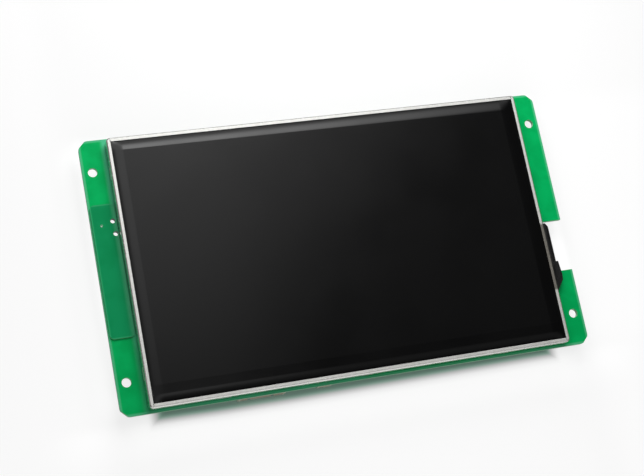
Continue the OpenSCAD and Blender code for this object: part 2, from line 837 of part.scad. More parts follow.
buzzer_base_t = 1;
buzzer_base_l = buzzer_d + 0.6;
buzzer_base_r = 1.5;
buzzer_wall = 0.8;
sound_hole_d = 2;

module buzzer_base() {
    color([0.16, 0.16, 0.16]) below(buzzer_at) linear_extrude(buzzer_base_t)
        rounded_rect(buzzer_base_l, buzzer_base_l, buzzer_base_r);
}

module buzzer() {
    color([0.09, 0.09, 0.09]) below(buzzer_at) difference() {
        translate([0, 0, buzzer_base_t]) cylinder(d = buzzer_d, h = buzzer_h - buzzer_base_t);
        translate([0, 0, buzzer_base_t - through])
            cylinder(d = buzzer_d - 2 * buzzer_wall, h = buzzer_h - buzzer_base_t - buzzer_wall + through);
        cylinder(d = sound_hole_d, h = buzzer_h + through);
    }
}

header_wall = 0.8;
header_depth = 7.6;
header_end = 2;
header_l = (header_pins_n - 1) * header_pitch + 2 * header_end;
header_at = [header_x, header_depth - board_h / 2];
pin_w = 0.5;
pin_back = 1.2;
pin_inset = 1.5;
pin_foot = 1.5;

function pin_x(i) = (i - (header_pins_n - 1) / 2) * header_pitch;

// Side-entry header: its mouth looks over the lower edge of the board
module header_housing() {
    slot_w = 1.2;
    color("ivory") below(header_at) difference() {
        translate([-header_l / 2, 0, 0]) cube([header_l, header_depth, header_h]);
        translate([header_wall - header_l / 2, 2 * header_wall, header_wall])
            cube([header_l - 2 * header_wall, header_depth, header_h - 2 * header_wall]);
        for (s = [-1, 1])
            translate([s * header_l / 4 - slot_w / 2, header_depth / 2, header_h - 2 * header_wall])
                cube([slot_w, header_depth, 3 * header_wall]);
        for (i = [0:header_pins_n - 1])
            translate([pin_x(i) - pin_w / 2, -through, header_h / 2 - pin_w / 2])
                cube([pin_w, header_depth, pin_w]);
    }
}

// Square pin along the depth of a header, with its foot bent onto the board behind the wall
module square_pin(w, tip, z, back, foot) {
    p = w / 2;
    translate([-p, 0, 0]) rotate([90, 0, 90]) linear_extrude(w) polygon([
        [tip, z - p], [tip, z + p],
        [-back, z + p], [-back, w],
        [-back - foot, w], [-back - foot, 0],
        [w - back, 0], [w - back, z - p]]);
}

module header_pins() {
    color("gold") below(header_at) for (i = [0:header_pins_n - 1])
        translate([pin_x(i), 0, 0])
            square_pin(pin_w, header_depth - pin_inset, header_h / 2, pin_back, pin_foot);
}

speaker_l = 5.2;
speaker_depth = 4.2;
speaker_h = 3.4;
speaker_pitch = 1.25;
speaker_wall = 0.6;
speaker_pin_w = 0.4;
speaker_pin_back = 1;
speaker_pin_foot = 1;
speaker_at = [speaker_x, speaker_depth - board_h / 2];

module speaker_header() {
    color("ivory") below(speaker_at) difference() {
        translate([-speaker_l / 2, 0, 0]) cube([speaker_l, speaker_depth, speaker_h]);
        translate([speaker_wall - speaker_l / 2, 2 * speaker_wall, speaker_wall])
            cube([speaker_l - 2 * speaker_wall, speaker_depth, speaker_h - 2 * speaker_wall]);
        for (s = [-1, 1])
            translate([s * speaker_pitch / 2 - speaker_pin_w / 2, -through, (speaker_h - speaker_pin_w) / 2])
                cube([speaker_pin_w, speaker_depth, speaker_pin_w]);
    }
}

module speaker_pins() {
    tip = speaker_depth - speaker_pin_foot;
    color("gold") below(speaker_at) for (s = [-1, 1])
        translate([s * speaker_pitch / 2, 0, 0])
            square_pin(speaker_pin_w, tip, speaker_h / 2, speaker_pin_back, speaker_pin_foot);
}

card_w = 14;
card_l = 14.6;
card_h = 1.9;
card_sheet = 0.2;
card_base_t = 0.5;
card_setback = 0.6;
card_slot = [2.4, 3.6];
card_stop = 2;
card_at = [card_x, board_h / 2 - card_setback - card_l / 2];

module card_socket_base() {
    inset = card_sheet + fit;
    color([0.12, 0.12, 0.12]) below(card_at) {
        translate([0, -inset / 2, 0]) layer(card_w - 2 * inset, card_l - inset, card_base_t, 0);
        translate([0, card_l / 2 - inset - card_stop / 2, card_h / 2 - fit])
            cube([card_w - 2 * inset, card_stop, card_h - 2 * inset], center = true);
    }
}

// Folded shell over the base, open towards the upper edge of the board
module card_socket_shell() {
    color("silver") below(card_at) difference() {
        layer(card_w, card_l, card_h, 0);
        translate([card_sheet - card_w / 2, -card_l / 2 - through, -through])
            cube([card_w - 2 * card_sheet, card_l - card_sheet + through, card_h - card_sheet + through]);
        for (s = [-1, 1])
            translate([s * card_w / 4, card_l / 10, card_h])
                cube([card_slot.x, card_slot.y, 4 * card_sheet], center = true);
    }
}

holder_wall = 1.2;
holder_floor = 0.8;
holder_d = cell_d + 2 * holder_wall + 2 * fit;
clip_w = 5;
clip_t = 0.25;
clip_z = holder_floor + cell_t + fit;

module cell_holder() {
    color([0.12, 0.12, 0.13]) below(holder_at) difference() {
        cylinder(d = holder_d, h = holder_floor + cell_t);
        translate([0, 0, holder_floor]) cylinder(d = cell_d + 2 * fit, h = cell_t + through);
        translate([0, -holder_d / 2, holder_floor + cell_t / 2 + through])
            cube([cell_d / 2, holder_d / 3, 2 * through + cell_t], center = true);
    }
}

// Sprung strap over the cell, with its two feet on the board
module cell_clip() {
    reach = holder_d / 2 + fit;
    foot = 2;
    color("silver") below(holder_at) along_y(-clip_w / 2, clip_w / 2) {
        translate([-reach - clip_t, clip_z]) square([2 * reach + 2 * clip_t, clip_t]);
        for (s = [-1, 1]) {
            translate([s > 0 ? reach : -reach - clip_t, 0]) square([clip_t, clip_z]);
            translate([s > 0 ? reach : -reach - foot, 0]) square([foot, clip_t]);
        }
    }
}

module coin_cell() {
    step = 0.3;
    color([0.75, 0.76, 0.77]) below(holder_at) translate([0, 0, holder_floor]) {
        cylinder(d = cell_d - 4 * step, h = step);
        translate([0, 0, step]) cylinder(d = cell_d, h = cell_t - step);
    }
}

main_board();
side_board();
front_bezel();
touch_film();
touch_spacer();
touch_glass();
touch_tail();
screen_gasket();
front_polariser();
front_glass();
rear_glass();
rear_polariser();
driver_chips();
lcd_flex();
moulded_frame();
upper_prism_film();
lower_prism_film();
diffuser_film();
light_guide();
reflector_film();
light_strip();
light_diodes();
back_plate();
mounting_tape();
flex_plug();
flex_stiffener();
flex_receptacle();
receptacle_contacts();
processor();
memory_chip();
flash_chip();
regulators();
crystal();
power_inductors();
inductor_cores();
rectifier_diodes();
chip_capacitors();
chip_resistors();
capacitor_bases();
capacitor_cans();
buzzer();
buzzer_base();
header_housing();
header_pins();
speaker_header();
speaker_pins();
card_socket_base();
card_socket_shell();
cell_holder();
cell_clip();
coin_cell();
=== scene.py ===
import json
import math
import bpy
import bmesh
from mathutils import Matrix, Vector

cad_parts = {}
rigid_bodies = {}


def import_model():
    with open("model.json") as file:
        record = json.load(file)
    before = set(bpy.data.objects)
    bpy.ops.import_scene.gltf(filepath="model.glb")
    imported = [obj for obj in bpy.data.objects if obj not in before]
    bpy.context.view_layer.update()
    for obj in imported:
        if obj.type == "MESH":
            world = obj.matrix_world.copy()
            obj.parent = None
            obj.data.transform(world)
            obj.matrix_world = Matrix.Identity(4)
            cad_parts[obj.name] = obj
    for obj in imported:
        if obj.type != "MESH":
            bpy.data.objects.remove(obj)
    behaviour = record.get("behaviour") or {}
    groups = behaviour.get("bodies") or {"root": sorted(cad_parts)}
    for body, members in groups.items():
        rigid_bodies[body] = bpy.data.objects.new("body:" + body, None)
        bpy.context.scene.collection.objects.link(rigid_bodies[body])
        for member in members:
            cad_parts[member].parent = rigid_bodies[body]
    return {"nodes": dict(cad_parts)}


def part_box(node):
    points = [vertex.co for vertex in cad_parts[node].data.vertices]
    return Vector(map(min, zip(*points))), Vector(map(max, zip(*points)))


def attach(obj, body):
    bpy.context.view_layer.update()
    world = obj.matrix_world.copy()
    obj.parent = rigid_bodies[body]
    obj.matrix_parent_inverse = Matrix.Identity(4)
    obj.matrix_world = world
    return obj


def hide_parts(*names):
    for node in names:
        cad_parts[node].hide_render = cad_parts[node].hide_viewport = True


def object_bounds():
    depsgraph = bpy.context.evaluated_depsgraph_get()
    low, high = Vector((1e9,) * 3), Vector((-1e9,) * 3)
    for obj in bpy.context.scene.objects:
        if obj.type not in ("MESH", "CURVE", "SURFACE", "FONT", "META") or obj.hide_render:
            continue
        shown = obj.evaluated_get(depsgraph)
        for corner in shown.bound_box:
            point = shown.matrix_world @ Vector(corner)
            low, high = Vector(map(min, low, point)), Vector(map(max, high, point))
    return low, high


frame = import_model()
node = frame["nodes"]
cad_box = [list(v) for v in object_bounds()]
scene = bpy.context.scene
scene.view_settings.view_transform = "Standard"
mm = 0.001

floor_level = cad_box[0][2]
board_low, board_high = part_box("main_board")
side_low, side_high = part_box("side_board")
bezel_low, bezel_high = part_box("front_bezel")
film_low, film_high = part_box("touch_film")
flex_low, flex_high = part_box("lcd_flex")
plug_low, plug_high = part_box("flex_plug")


class Nodes:
    """A node tree, with short calls that add nodes and link them."""

    def __init__(self, tree):
        self.tree = tree

    def put(self, value, socket):
        if isinstance(value, bpy.types.NodeSocket):
            self.tree.links.new(value, socket)
        else:
            socket.default_value = value

    def add(self, kind, values=(), **settings):
        """A new node with its settings and with values or links in its sockets."""
        n = self.tree.nodes.new(kind)
        for key, value in settings.items():
            setattr(n, key, value)
        for key, value in dict(values).items():
            self.put(value, n.inputs[key])
        return n

    def math(self, step, a, b=0.0):
        return self.add("ShaderNodeMath", {0: a, 1: b}, operation=step).outputs[0]

    def times(self, first, *others):
        for value in others:
            first = self.math("MULTIPLY", first, value)
        return first

    def plus(self, first, *others):
        for value in others:
            first = self.math("ADD", first, value)
        return first

    def axes(self, vector):
        return self.add("ShaderNodeSeparateXYZ", {0: vector}).outputs

    def ramp(self, value, low, high, at_low=0.0, at_high=1.0, smooth=True):
        values = {"Value": value, "From Min": low, "From Max": high, "To Min": at_low, "To Max": at_high}
        kind = "SMOOTHSTEP" if smooth else "LINEAR"
        return self.add("ShaderNodeMapRange", values, interpolation_type=kind).outputs[0]


class Finish(Nodes):
    """A material on the principled shader, laid out by places on the object."""

    def __init__(self, name, **sockets):
        self.material = bpy.data.materials.new(name)
        self.material.use_nodes = True
        super().__init__(self.material.node_tree)
        self.shader = self.tree.nodes["Principled BSDF"]
        self.place = self.add("ShaderNodeTexCoord").outputs["Object"]
        for socket, value in sockets.items():
            self.shade(socket.replace("_", " "), value)

    def shade(self, socket, value):
        self.put(value, self.shader.inputs[socket])

    def axes(self, vector=None):
        return super().axes(self.place if vector is None else vector)

    def facing(self):
        return self.axes(self.add("ShaderNodeNewGeometry").outputs["Normal"])

    def stretched(self, x, y, z):
        return self.add("ShaderNodeMapping", {"Vector": self.place, "Scale": (x, y, z)}).outputs[0]

    def noise(self, grain, detail=3.0, rough=0.5, vector=None):
        at = self.place if vector is None else vector
        values = {"Vector": at, "Scale": 1 / grain, "Detail": detail, "Roughness": rough}
        return self.add("ShaderNodeTexNoise", values).outputs["Fac"]

    def blend(self, amount, a, b):
        return self.add("ShaderNodeMix", {"Factor": amount, 6: a, 7: b}, data_type="RGBA").outputs[2]

    def off(self, value, middle):
        """How far a value is from a middle, on either side."""
        return self.math("ABSOLUTE", self.math("SUBTRACT", value, middle))

    def distance(self, cx, cy):
        """How far a place is from an upright axis."""
        x, y = self.axes()[:2]
        dx = self.math("SUBTRACT", x, cx)
        dy = self.math("SUBTRACT", y, cy)
        return self.math("SQRT", self.plus(self.times(dx, dx), self.times(dy, dy)))

    def waves(self, value, pitch):
        return self.math("SINE", self.times(value, 2 * math.pi / pitch))

    def bump(self, height, depth):
        n = self.add("ShaderNodeBump", {"Distance": depth, "Strength": 1.0, "Height": height})
        self.shade("Normal", n.outputs[0])


def colour(r, g, b):
    """sRGB numbers from 0 to 255 as a linear colour."""
    def part(v):
        v /= 255
        return v / 12.92 if v <= 0.04045 else ((v + 0.055) / 1.055) ** 2.4
    return (part(r), part(g), part(b), 1.0)


def dress(name, finish):
    """Gives a CAD node its finish."""
    slots = node[name].data.materials
    slots.clear()
    slots.append(finish.material)


# Camera, at the place and angle solved from the photo

def place_camera():
    eye = (-0.15585, -0.11018, 0.4992)
    turn = Matrix(((0.9516, 0.1247, -0.2809), (-0.18875, 0.95844, -0.21393), (0.24255, 0.25659, 0.93559)))
    nudge_y, nudge_x = 0.00036, 0.00014
    data = bpy.data.cameras.new("camera")
    data.lens = 77.83
    data.sensor_width = 36
    data.clip_start, data.clip_end = 0.01, 50
    camera = bpy.data.objects.new("camera", data)
    scene.collection.objects.link(camera)
    aim = turn @ Matrix.Rotation(nudge_y, 3, "Y") @ Matrix.Rotation(nudge_x, 3, "X")
    camera.matrix_world = Matrix.Translation(eye) @ aim.to_4x4()
    scene.camera = camera


# Studio: a room whose soft lights show in the black film, one lamp behind the display, and a white floor

def light_room():
    """Soft lights, each set by ramps over the direction it is seen in."""
    glow_level, glow_curve = 4.7, 1.2
    box_level, front_level, corner_level, backdrop_level = 3.7, 0.15, 0.5, 0.85
    world = bpy.data.worlds.new("studio")
    scene.world = world
    world.use_nodes = True
    sky = Nodes(world.node_tree)
    ramp = sky.ramp
    x, y, z = sky.axes(sky.add("ShaderNodeTexCoord").outputs["Generated"])
    slant = sky.plus(ramp(y, 0.06, 0.31, -0.23, 0.02, False), ramp(x, 0.2, 0.52, 0.231, -0.121, False))
    glow = sky.times(sky.math("POWER", sky.math("MAXIMUM", slant, 0.0), glow_curve), glow_level,
                     ramp(x, 0.06, 0.14, 1.5, 1), ramp(x, -0.11, -0.04, 0.05, 1),
                     ramp(y, 0.6, 0.75, 1, 0.2))
    box = sky.times(ramp(y, 0.325, 0.375, 0, box_level), ramp(y, 0.44, 0.52, 1, 0),
                    ramp(x, 0.15, 0.53, 1, 0), ramp(x, 0.05, 0.16, 0, 1))
    front = sky.times(ramp(y, -0.17, -0.05, 0, front_level), ramp(y, 0.0, 0.09, 1, 0))
    corner = sky.times(ramp(x, 0.17, 0.29, corner_level, 0),
                       ramp(y, -0.07, 0.02, 0, 1), ramp(y, 0.04, 0.1, 1, 0))
    walls = sky.plus(ramp(y, 0.085, 0.122, 0.03, 0.1), ramp(y, -0.75, -0.35, 0.8, 0))
    walls = sky.times(walls, ramp(x, 0.43, 0.48, 1, 0.45))
    seen = sky.add("ShaderNodeLightPath").outputs["Is Camera Ray"]
    backdrop = sky.times(ramp(z, 0.06, 0.2, backdrop_level, 0), seen)
    light = sky.tree.nodes["Background"].inputs
    light["Color"].default_value = (1, 1, 1, 1)
    sky.put(sky.plus(backdrop, glow, box, front, corner, walls), light["Strength"])


def hang_lamp():
    """A soft disk that lights and shades, but shows in no mirror."""
    at = Vector((0.018, 0.21, 0.19))
    data = bpy.data.lights.new("soft_box", "AREA")
    data.shape = "DISK"
    data.size = 0.26
    data.energy = 0.9
    lamp = bpy.data.objects.new("soft_box", data)
    scene.collection.objects.link(lamp)
    lamp.location = at
    lamp.rotation_mode = "QUATERNION"
    lamp.rotation_quaternion = at.to_track_quat("Z", "Y")
    lamp.visible_glossy = False


def paper_finish():
    """White paper that glows for the camera and in mirrors; the display's shadow on it is painted, as
    less glow near and under the display.
    """
    f = Finish("white_paper", Roughness=0.9, Specular_IOR_Level=0.0)
    f.shade("Base Color", f.blend(f.noise(0.4), colour(139, 139, 139), colour(142, 142, 142)))
    x, y = f.axes()[:2]
    away = f.math("ABSOLUTE", x)

    # Open floor: past the ears, past the upper edge, and before the lower edge, with the uneven edge of a
    # painted shadow between
    beside = f.ramp(away, 76 * mm, 83 * mm)
    behind = f.ramp(y, 49 * mm, 53 * mm)
    widening = f.times(f.ramp(x, -30 * mm, 75 * mm, 1.25 * mm, 0.4 * mm, False),
                       f.ramp(x, -80 * mm, -50 * mm, 0.7, 1))
    near = f.plus(y, widening)
    edge = board_low.y
    before = f.times(f.ramp(near, edge - 3.6 * mm, edge + 1 * mm, 1, 0),
                     f.ramp(near, edge - 5.7 * mm, edge - 2.3 * mm, 1, 0.86))
    open_floor = f.math("MAXIMUM", f.math("MAXIMUM", beside, before), behind)

    # Brightness: the open floor, with painted light that lifts the lamp's shadows below the lower edge,
    # at the ears and farther out, and a floor of glow that sets how dark the painted shadow is
    wide = f.times(open_floor, f.ramp(y, -140 * mm, 120 * mm, 0.74, 0.62, False))
    middle = f.plus(f.ramp(away, 80 * mm, 98 * mm, 0.65, 0), f.ramp(away, 98 * mm, 125 * mm, 0.35, 0))
    below = f.times(f.ramp(y, -72 * mm, -56.5 * mm, 0.015, 0.125), middle, before)
    at_left = f.times(f.ramp(x, -95.5 * mm, -91 * mm, 0, 0.15), f.ramp(y, -45 * mm, -3 * mm))
    at_left = f.plus(at_left, f.ramp(x, -103 * mm, -92.5 * mm, 0, 0.08))
    at_right = f.ramp(x, 93.5 * mm, 97.5 * mm, 0.11, 0.02)
    at_ears = f.plus(f.times(f.math("LESS_THAN", x, 0.0), at_left),
                     f.times(f.math("GREATER_THAN", x, 0.0), at_right))
    at_ears = f.times(at_ears, f.ramp(f.math("ABSOLUTE", y), 44 * mm, 58 * mm, 1, 0), beside)
    farther = f.ramp(away, 90 * mm, 110 * mm, 0, 0.025)
    all_over = f.ramp(open_floor, 0, 0.6, 0.11, 0.045)

    # Shown to the camera, through clear parts and, near the display, in mirrors
    rays = f.add("ShaderNodeLightPath").outputs
    mirrored = f.times(rays["Is Glossy Ray"], f.ramp(away, 85 * mm, 105 * mm, 1, 0.05))
    shown = f.math("MAXIMUM", mirrored, rays["Is Transmission Ray"])
    shown = f.math("MAXIMUM", rays["Is Camera Ray"], shown)
    # Inside the painted shadow the glow is tinted green, a painted bounce of light from the board.
    painted_bounce_tint, open_tint = (0.5, 1, 0.75, 1), (1, 1, 1, 1)
    f.shade("Emission Color", f.blend(f.ramp(open_floor, 0, 0.5), painted_bounce_tint, open_tint))
    f.shade("Emission Strength", f.times(shown, f.plus(wide, below, at_ears, farther, all_over)))
    return f


def lay_floor():
    radius, steps = 5, 64
    turns = [2 * math.pi * i / steps for i in range(steps)]
    rim = [(radius * math.cos(turn), radius * math.sin(turn), floor_level) for turn in turns]
    mesh = bpy.data.meshes.new("floor")
    mesh.from_pydata(rim, [], [list(range(steps))])
    mesh.materials.append(paper_finish().material)
    floor = bpy.data.objects.new("floor", mesh)
    scene.collection.objects.link(floor)


# Touch film: a black sheet over the glass, whose border falls away to the steel in a soft shoulder

def make_touch_film(finish):
    edge = Vector((bezel_high.x - 1.6 * mm, bezel_high.y - 1.65 * mm))
    border = Vector((4.55 * mm, 3.25 * mm))
    middle = Vector((-0.45 * mm, -0.25 * mm))
    slack = Vector((-0.4 * mm, -0.7 * mm))
    top = bezel_high.z - 0.4 * mm
    rise = 0.35 * mm
    dip = 0.06 * mm / rise
    flat_from = 1 + 3.4 * mm / border.y
    bend = 0.6
    steps = 16
    lower_lines = [(i / steps, -1) for i in range(steps + 1)]
    upper_lines = [(i / steps, 1) for i in range(steps, -1, -1)]
    across_lines = lower_lines + upper_lines
    along_lines = lower_lines + [(flat_from, -1)] + upper_lines

    def shoulder(t):
        return (1 - bend) * t + bend * (2 * t - t * t)

    def height(along):
        """Above the lower border the sheet falls a little before it bends."""
        t, side = along
        if side > 0:
            return shoulder(t)
        return 1.0 if t > 1 else shoulder(t) * (1 - dip)

    def spot(across, along):
        """A point of the sheet; the crease lies farther in toward the upper right corner."""
        (tx, sx), (ty, sy) = across, along
        x = sx * (edge.x - border.x * tx)
        y = sy * (edge.y - border.y * ty)
        z = top + rise * shoulder(tx) * height(along)
        right = slack.x * tx * (0.5 + 0.5 * y / edge.y) if sx > 0 else 0
        upper = slack.y * ty * (0.5 + 0.5 * x / edge.x) if sy > 0 else 0
        return (x + middle.x * tx + right, y + middle.y * min(ty, 1.0) + upper, z)

    mesh = bmesh.new()
    sheet = [[mesh.verts.new(spot(across, along)) for across in across_lines] for along in along_lines]
    for low, high in zip(sheet, sheet[1:]):
        for i in range(len(low) - 1):
            mesh.faces.new((low[i], low[i + 1], high[i + 1], high[i]))
    right_side = [row[-1] for row in sheet[:-1]]
    left_side = [row[0] for row in sheet[:0:-1]]
    rim = sheet[0][:-1] + right_side + sheet[-1][:0:-1] + left_side
    wider, taller = film_high.x / edge.x, film_high.y / edge.y
    loops = [rim]
    for z in (top, film_low.z):
        loops.append([mesh.verts.new((v.co.x * wider, v.co.y * taller, z)) for v in rim])
    for inner, outer in zip(loops, loops[1:]):
        for i in range(len(rim)):
            k = (i + 1) % len(rim)
            mesh.faces.new((outer[i], outer[k], inner[k], inner[i]))
    mesh.faces.new(loops[-1][::-1])
    data = bpy.data.meshes.new("touch_pane")
    mesh.to_mesh(data)
    mesh.free()
    data.materials.append(finish.material)
    pane = bpy.data.objects.new("touch_pane", data)
    scene.collection.objects.link(pane)
    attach(pane, "root")
    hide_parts("touch_film")


# Finishes by place: boxes and circles in mm

def inside(f, boxes):
    """1 inside any of the boxes (x, y, half width, half height), 0 outside."""
    x, y = f.axes()[:2]
    slack = 0.004 * mm
    found = 0.0
    for cx, cy, hx, hy in boxes:
        over_x = f.math("SUBTRACT", f.off(x, cx * mm), hx * mm)
        over_y = f.math("SUBTRACT", f.off(y, cy * mm), hy * mm)
        one = f.math("LESS_THAN", f.math("MAXIMUM", over_x, over_y), slack)
        found = f.math("MAXIMUM", one, found)
    return found


def round_spots(f, spots):
    """1 inside any of the circles (x, y, radius), with a soft edge."""
    soft = 0.06
    found = 0.0
    for cx, cy, r in spots:
        away = f.distance(cx * mm, cy * mm)
        found = f.math("MAXIMUM", f.ramp(away, (r - soft) * mm, (r + soft) * mm, 1, 0), found)
    return found


# Finishes of the front

def with_painted_bores(f, edge):
    """The cut edge of a board, with painted shade darkening the bores of the wire holes and painted light
    brightening the bore of the test hole.
    """
    right, left, upper = side_high.x / mm, side_low.x / mm, side_high.y / mm
    painted_shade_in_wire_holes = round_spots(f, [(right - 1.5, upper - 6.7, 1.1), (right - 1.1, upper - 11.6, 1.1)])
    painted_light_in_test_hole = round_spots(f, [(left + 3.5, upper - 8.1, 0.65)])
    return f.blend(painted_light_in_test_hole, f.blend(painted_shade_in_wire_holes, edge, colour(34, 44, 36)), colour(206, 250, 222))


def from_margin(f, low, high, start, stop):
    """0 on a band along the edges of a board, 1 from a given distance in."""
    x, y = f.axes()[:2]
    mid, half = (low + high) / 2, (high - low) / 2
    from_x = f.math("SUBTRACT", half.x, f.off(x, mid.x))
    from_y = f.math("SUBTRACT", half.y, f.off(y, mid.y))
    return f.ramp(f.math("MINIMUM", from_x, from_y), start, stop)


def painted_wall_reflection(f):
    """Grows to 1 on the upper face beside the bezel's left wall, where a reflection of the wall's steel
    is painted into the mask as a paler strip.
    """
    x, y = f.axes()[:2]
    left_half = f.math("LESS_THAN", x, 0.0)
    near = f.ramp(x, bezel_low.x - 2.3 * mm, bezel_low.x - 0.4 * mm)
    weaker_below = f.ramp(y, -38 * mm, -15 * mm, 0.45, 1)
    return f.times(near, left_half, weaker_below, f.ramp(f.facing()[2], 0.4, 0.6))


def lay_weave(f, smooth, dull, depth):
    """The fine weave of a board, felt through its mask."""
    weave = f.noise(0.5 * mm, 1, 0.4)
    f.shade("Roughness", f.ramp(weave, 0.3, 0.7, smooth, dull))
    f.bump(weave, depth * mm)


def coat_board(f, face, edge):
    up = f.math("ABSOLUTE", f.facing()[2])
    f.shade("Base Color", f.blend(f.ramp(up, 0.4, 0.6), with_painted_bores(f, edge), face))
    lay_weave(f, 0.32, 0.42, 0.012)
    return f


def board_finish():
    f = Finish("solder_mask", Specular_IOR_Level=0.06)
    cloud = f.ramp(f.noise(7 * mm, 3), 0.35, 0.65)
    copper = f.blend(cloud, colour(1, 165, 86), colour(3, 177, 94))
    margin = from_margin(f, board_low, board_high, 0.5 * mm, 1.1 * mm)
    # A paler strip beside the bezel's left wall is a painted reflection of its steel.
    face = f.blend(painted_wall_reflection(f), f.blend(margin, colour(74, 184, 128), copper), colour(78, 190, 140))
    fibres = f.noise(0.4 * mm, 3, vector=f.stretched(0.2, 0.2, 3))
    return coat_board(f, face, f.blend(fibres, colour(170, 218, 182), colour(152, 204, 164)))


def side_board_finish():
    f = Finish("dark_solder_mask", Specular_IOR_Level=0.06)
    cloud = f.ramp(f.noise(9 * mm, 2), 0.35, 0.65)
    copper = f.blend(cloud, colour(9, 136, 80), colour(15, 143, 87))
    margin = from_margin(f, side_low, side_high, 0.35 * mm, 0.65 * mm)
    # A paler strip beside the bezel's left wall is a painted reflection of its steel.
    face = f.blend(painted_wall_reflection(f), f.blend(margin, colour(44, 158, 102), copper), colour(76, 176, 126))
    return coat_board(f, face, colour(120, 170, 130))


def bezel_finish():
    """Rolled steel, duller on the flat flange than on the drawn walls, with a painted reflection of the
    black circuit that darkens it beside the circuit's exit.
    """
    f = Finish("rolled_steel")
    along = f.noise(0.9 * mm, 4, 0.6, f.stretched(0.08, 1, 1))
    across = f.noise(0.9 * mm, 4, 0.6, f.stretched(1, 0.08, 1))
    grain = f.times(f.plus(along, across), 0.5)
    fine = f.ramp(grain, 0.35, 0.65)
    flange = f.ramp(f.facing()[2], 0.9, 0.99)
    drawn = f.blend(fine, colour(224, 224, 219), colour(232, 232, 228))
    flat = f.blend(fine, colour(236, 236, 231), colour(245, 245, 241))
    # Darker steel beside the circuit's exit is a painted reflection of the black circuit.
    dark = f.blend(fine, colour(134, 130, 122), colour(146, 142, 134))
    x, y = f.axes()[:2]
    fade = 1.2 * mm
    painted_flex_reflection_at_exit = f.times(f.ramp(y, flex_low.y, flex_low.y + fade),
                      f.ramp(y, flex_high.y - fade, flex_high.y, 1, 0),
                      f.ramp(x, bezel_high.x - 1.9 * mm, bezel_high.x - 1.5 * mm))
    f.shade("Base Color", f.blend(painted_flex_reflection_at_exit, f.blend(flange, drawn, flat), dark))
    f.shade("Metallic", f.ramp(flange, 0, 1, 1.0, 0.5))
    f.shade("Roughness", f.plus(f.ramp(flange, 0, 1, 0.24, 0.34), f.ramp(grain, 0.3, 0.7, 0.0, 0.04)))
    return f


def film_finish():
    f = Finish("black_film")
    haze = f.noise(22 * mm, 3)
    f.shade("Base Color", f.blend(haze, (0.0014, 0.0014, 0.0015, 1), (0.0022, 0.0022, 0.0023, 1)))
    f.shade("Roughness", f.ramp(haze, 0.3, 0.7, 0.10, 0.14))
    return f


def flex_finish():
    f = Finish("black_flex")
    y = f.axes()[1]
    lines = f.waves(y, 0.8 * mm)
    stripes = f.ramp(lines, -0.4, 0.6)
    f.shade("Base Color", f.blend(stripes, (0.004, 0.004, 0.0045, 1), (0.008, 0.008, 0.008, 1)))
    f.shade("Roughness", f.ramp(f.noise(1.5 * mm), 0.3, 0.7, 0.36, 0.5))
    f.bump(lines, 0.006 * mm)
    return f


def plain_finish(name, dark, light, grain, rough, depth=0.0, **sockets):
    """Colour, roughness and surface that vary a little at one grain, in mm."""
    f = Finish(name, **sockets)
    cloud = f.noise(grain * mm, 4, 0.55)
    f.shade("Base Color", f.blend(f.ramp(cloud, 0.3, 0.7), colour(*dark), colour(*light)))
    f.shade("Roughness", f.ramp(f.noise(grain * 0.6 * mm, 3), 0.3, 0.7, rough[0], rough[1]))
    if depth:
        f.bump(f.noise(grain * 0.35 * mm, 3), depth * mm)
    return f


def metal_finish(name, dark, light, grain, rough, depth=0.0):
    return plain_finish(name, dark, light, grain, rough, depth, Metallic=1.0)


def package_finish(name, bodies, dimples):
    """Moulded black bodies with tinned leads, and with a dimple at the first lead where one is given."""
    f = Finish(name)
    body = inside(f, bodies)
    grit = f.noise(0.12 * mm, 3, 0.6)
    epoxy = f.blend(f.ramp(f.noise(3 * mm, 3), 0.3, 0.7), colour(30, 30, 32), colour(40, 40, 42))
    dimple = round_spots(f, dimples)
    epoxy = f.blend(dimple, epoxy, colour(58, 58, 60))
    tin = f.blend(f.noise(0.5 * mm, 3), colour(196, 198, 200), colour(216, 217, 218))
    f.shade("Base Color", f.blend(body, tin, epoxy))
    f.shade("Metallic", f.math("SUBTRACT", 1.0, body))
    f.shade("Roughness", f.ramp(body, 0, 1, 0.28, f.ramp(grit, 0.3, 0.7, 0.52, 0.66), False))
    height = f.math("SUBTRACT", f.times(grit, 0.12), dimple)
    f.bump(f.times(height, body), 0.05 * mm)
    return f


# Small repeated work on the back, grown by geometry nodes

